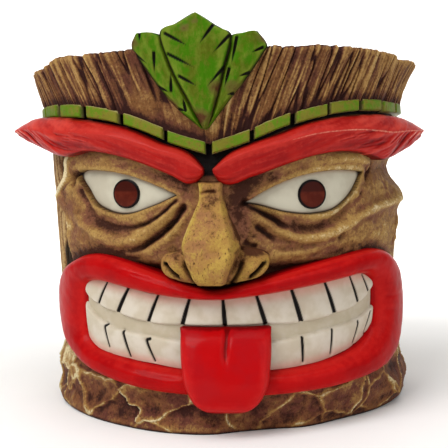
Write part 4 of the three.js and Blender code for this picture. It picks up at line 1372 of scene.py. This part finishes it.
def tongue():
    middle, tip_z, root_z = 2.7, 5.6, 26.6

    def shape(u, v):
        z = mix(tip_z, root_z, v)
        half = through(TONGUE_HALF, z)
        a = middle + half * (2 * u - 1)
        edge = np.minimum(np.minimum(u, 1 - u) * 2 * half * ARC, (z - tip_z) * 0.9)
        r = mix(52.2, through(TONGUE_CREST, z), rounded(edge / 2.2)) - 0.5 * (2 * u - 1) ** 4
        return a, z, carve_all(r, a, z, TONGUE_LINES) + 0.25 * lumps(a, z, 6, 811, 2)

    piece("tongue_out", "tongue", TONGUE_RED, 90, 90, shape, lambda a, z: 49.5 + 0 * a)


tongue()

# ---------------------------------------------------------------- floor, light and camera


def floor():
    """A sheet of paper that lies in front and curves up behind."""
    front, behind, bend, high, half, steps = -3000, 1000, 400, 2000, 3000, 16
    profile = [(front, 0.0)]
    profile += [(behind - bend + bend * math.sin(t), bend - bend * math.cos(t))
                for t in np.linspace(0, math.pi / 2, steps)]
    profile.append((behind, high))
    points = np.array([(x, y, z) for y, z in profile for x in (-half, half)])
    faces = [(2 * i, 2 * i + 1, 2 * i + 3, 2 * i + 2) for i in range(len(profile) - 1)]
    smooth_mesh("studio_floor", points, faces, PAPER, 60)


floor()


def turned(azimuth, elevation):
    """Rotations that bring a lamp or camera, which looks down -Z, to an azimuth and elevation."""
    turn = Matrix.Rotation(math.radians(azimuth), 4, "Z")
    return turn, Matrix.Rotation(math.radians(90 - elevation), 4, "X")


def area_light(name, azimuth, elevation, distance, size, power, middle=(0, 0, 0.05)):
    """A square soft box that points at the middle of the mug, or at the paper behind it."""
    light = bpy.data.lights.new(name, "AREA")
    light.shape = "SQUARE"
    light.size = size
    light.energy = power
    made = bpy.data.objects.new(name, light)
    bpy.context.scene.collection.objects.link(made)
    turn, tilt = turned(azimuth, elevation)
    made.matrix_world = Matrix.Translation(middle) @ turn @ tilt @ Matrix.Translation((0, 0, distance))


area_light("key", -38, 42, 0.75, 0.45, 4.0)
area_light("fill", 48, 22, 0.9, 0.8, 1.8)
area_light("top", 0, 84, 1.0, 0.9, 4.6)
area_light("backdrop", 0, 38, 0.7, 0.8, 7.0, (0, 1.0, 0.1))


def world():
    made = bpy.data.worlds.new("studio")
    made.use_nodes = True
    background = made.node_tree.nodes["Background"]
    background.inputs["Color"].default_value = (1, 1, 1, 1)
    background.inputs["Strength"].default_value = 0.28
    bpy.context.scene.world = made


world()


def camera():
    """Nearly at the height of the nose, a little to the right, tipped down 4 degrees."""
    around, dip, roll = 3.5, 4.0, -0.7
    lens = bpy.data.cameras.new("camera")
    lens.sensor_width = 36
    lens.lens = 68.3
    made = bpy.data.objects.new("camera", lens)
    bpy.context.scene.collection.objects.link(made)
    turn, tilt = turned(around, dip)
    place = Matrix.Translation((-0.0008, -0.255, 0.066))
    made.matrix_world = turn @ place @ tilt @ Matrix.Rotation(math.radians(roll), 4, "Z")
    bpy.context.scene.camera = made


camera()
bpy.context.scene.view_settings.view_transform = "Standard"
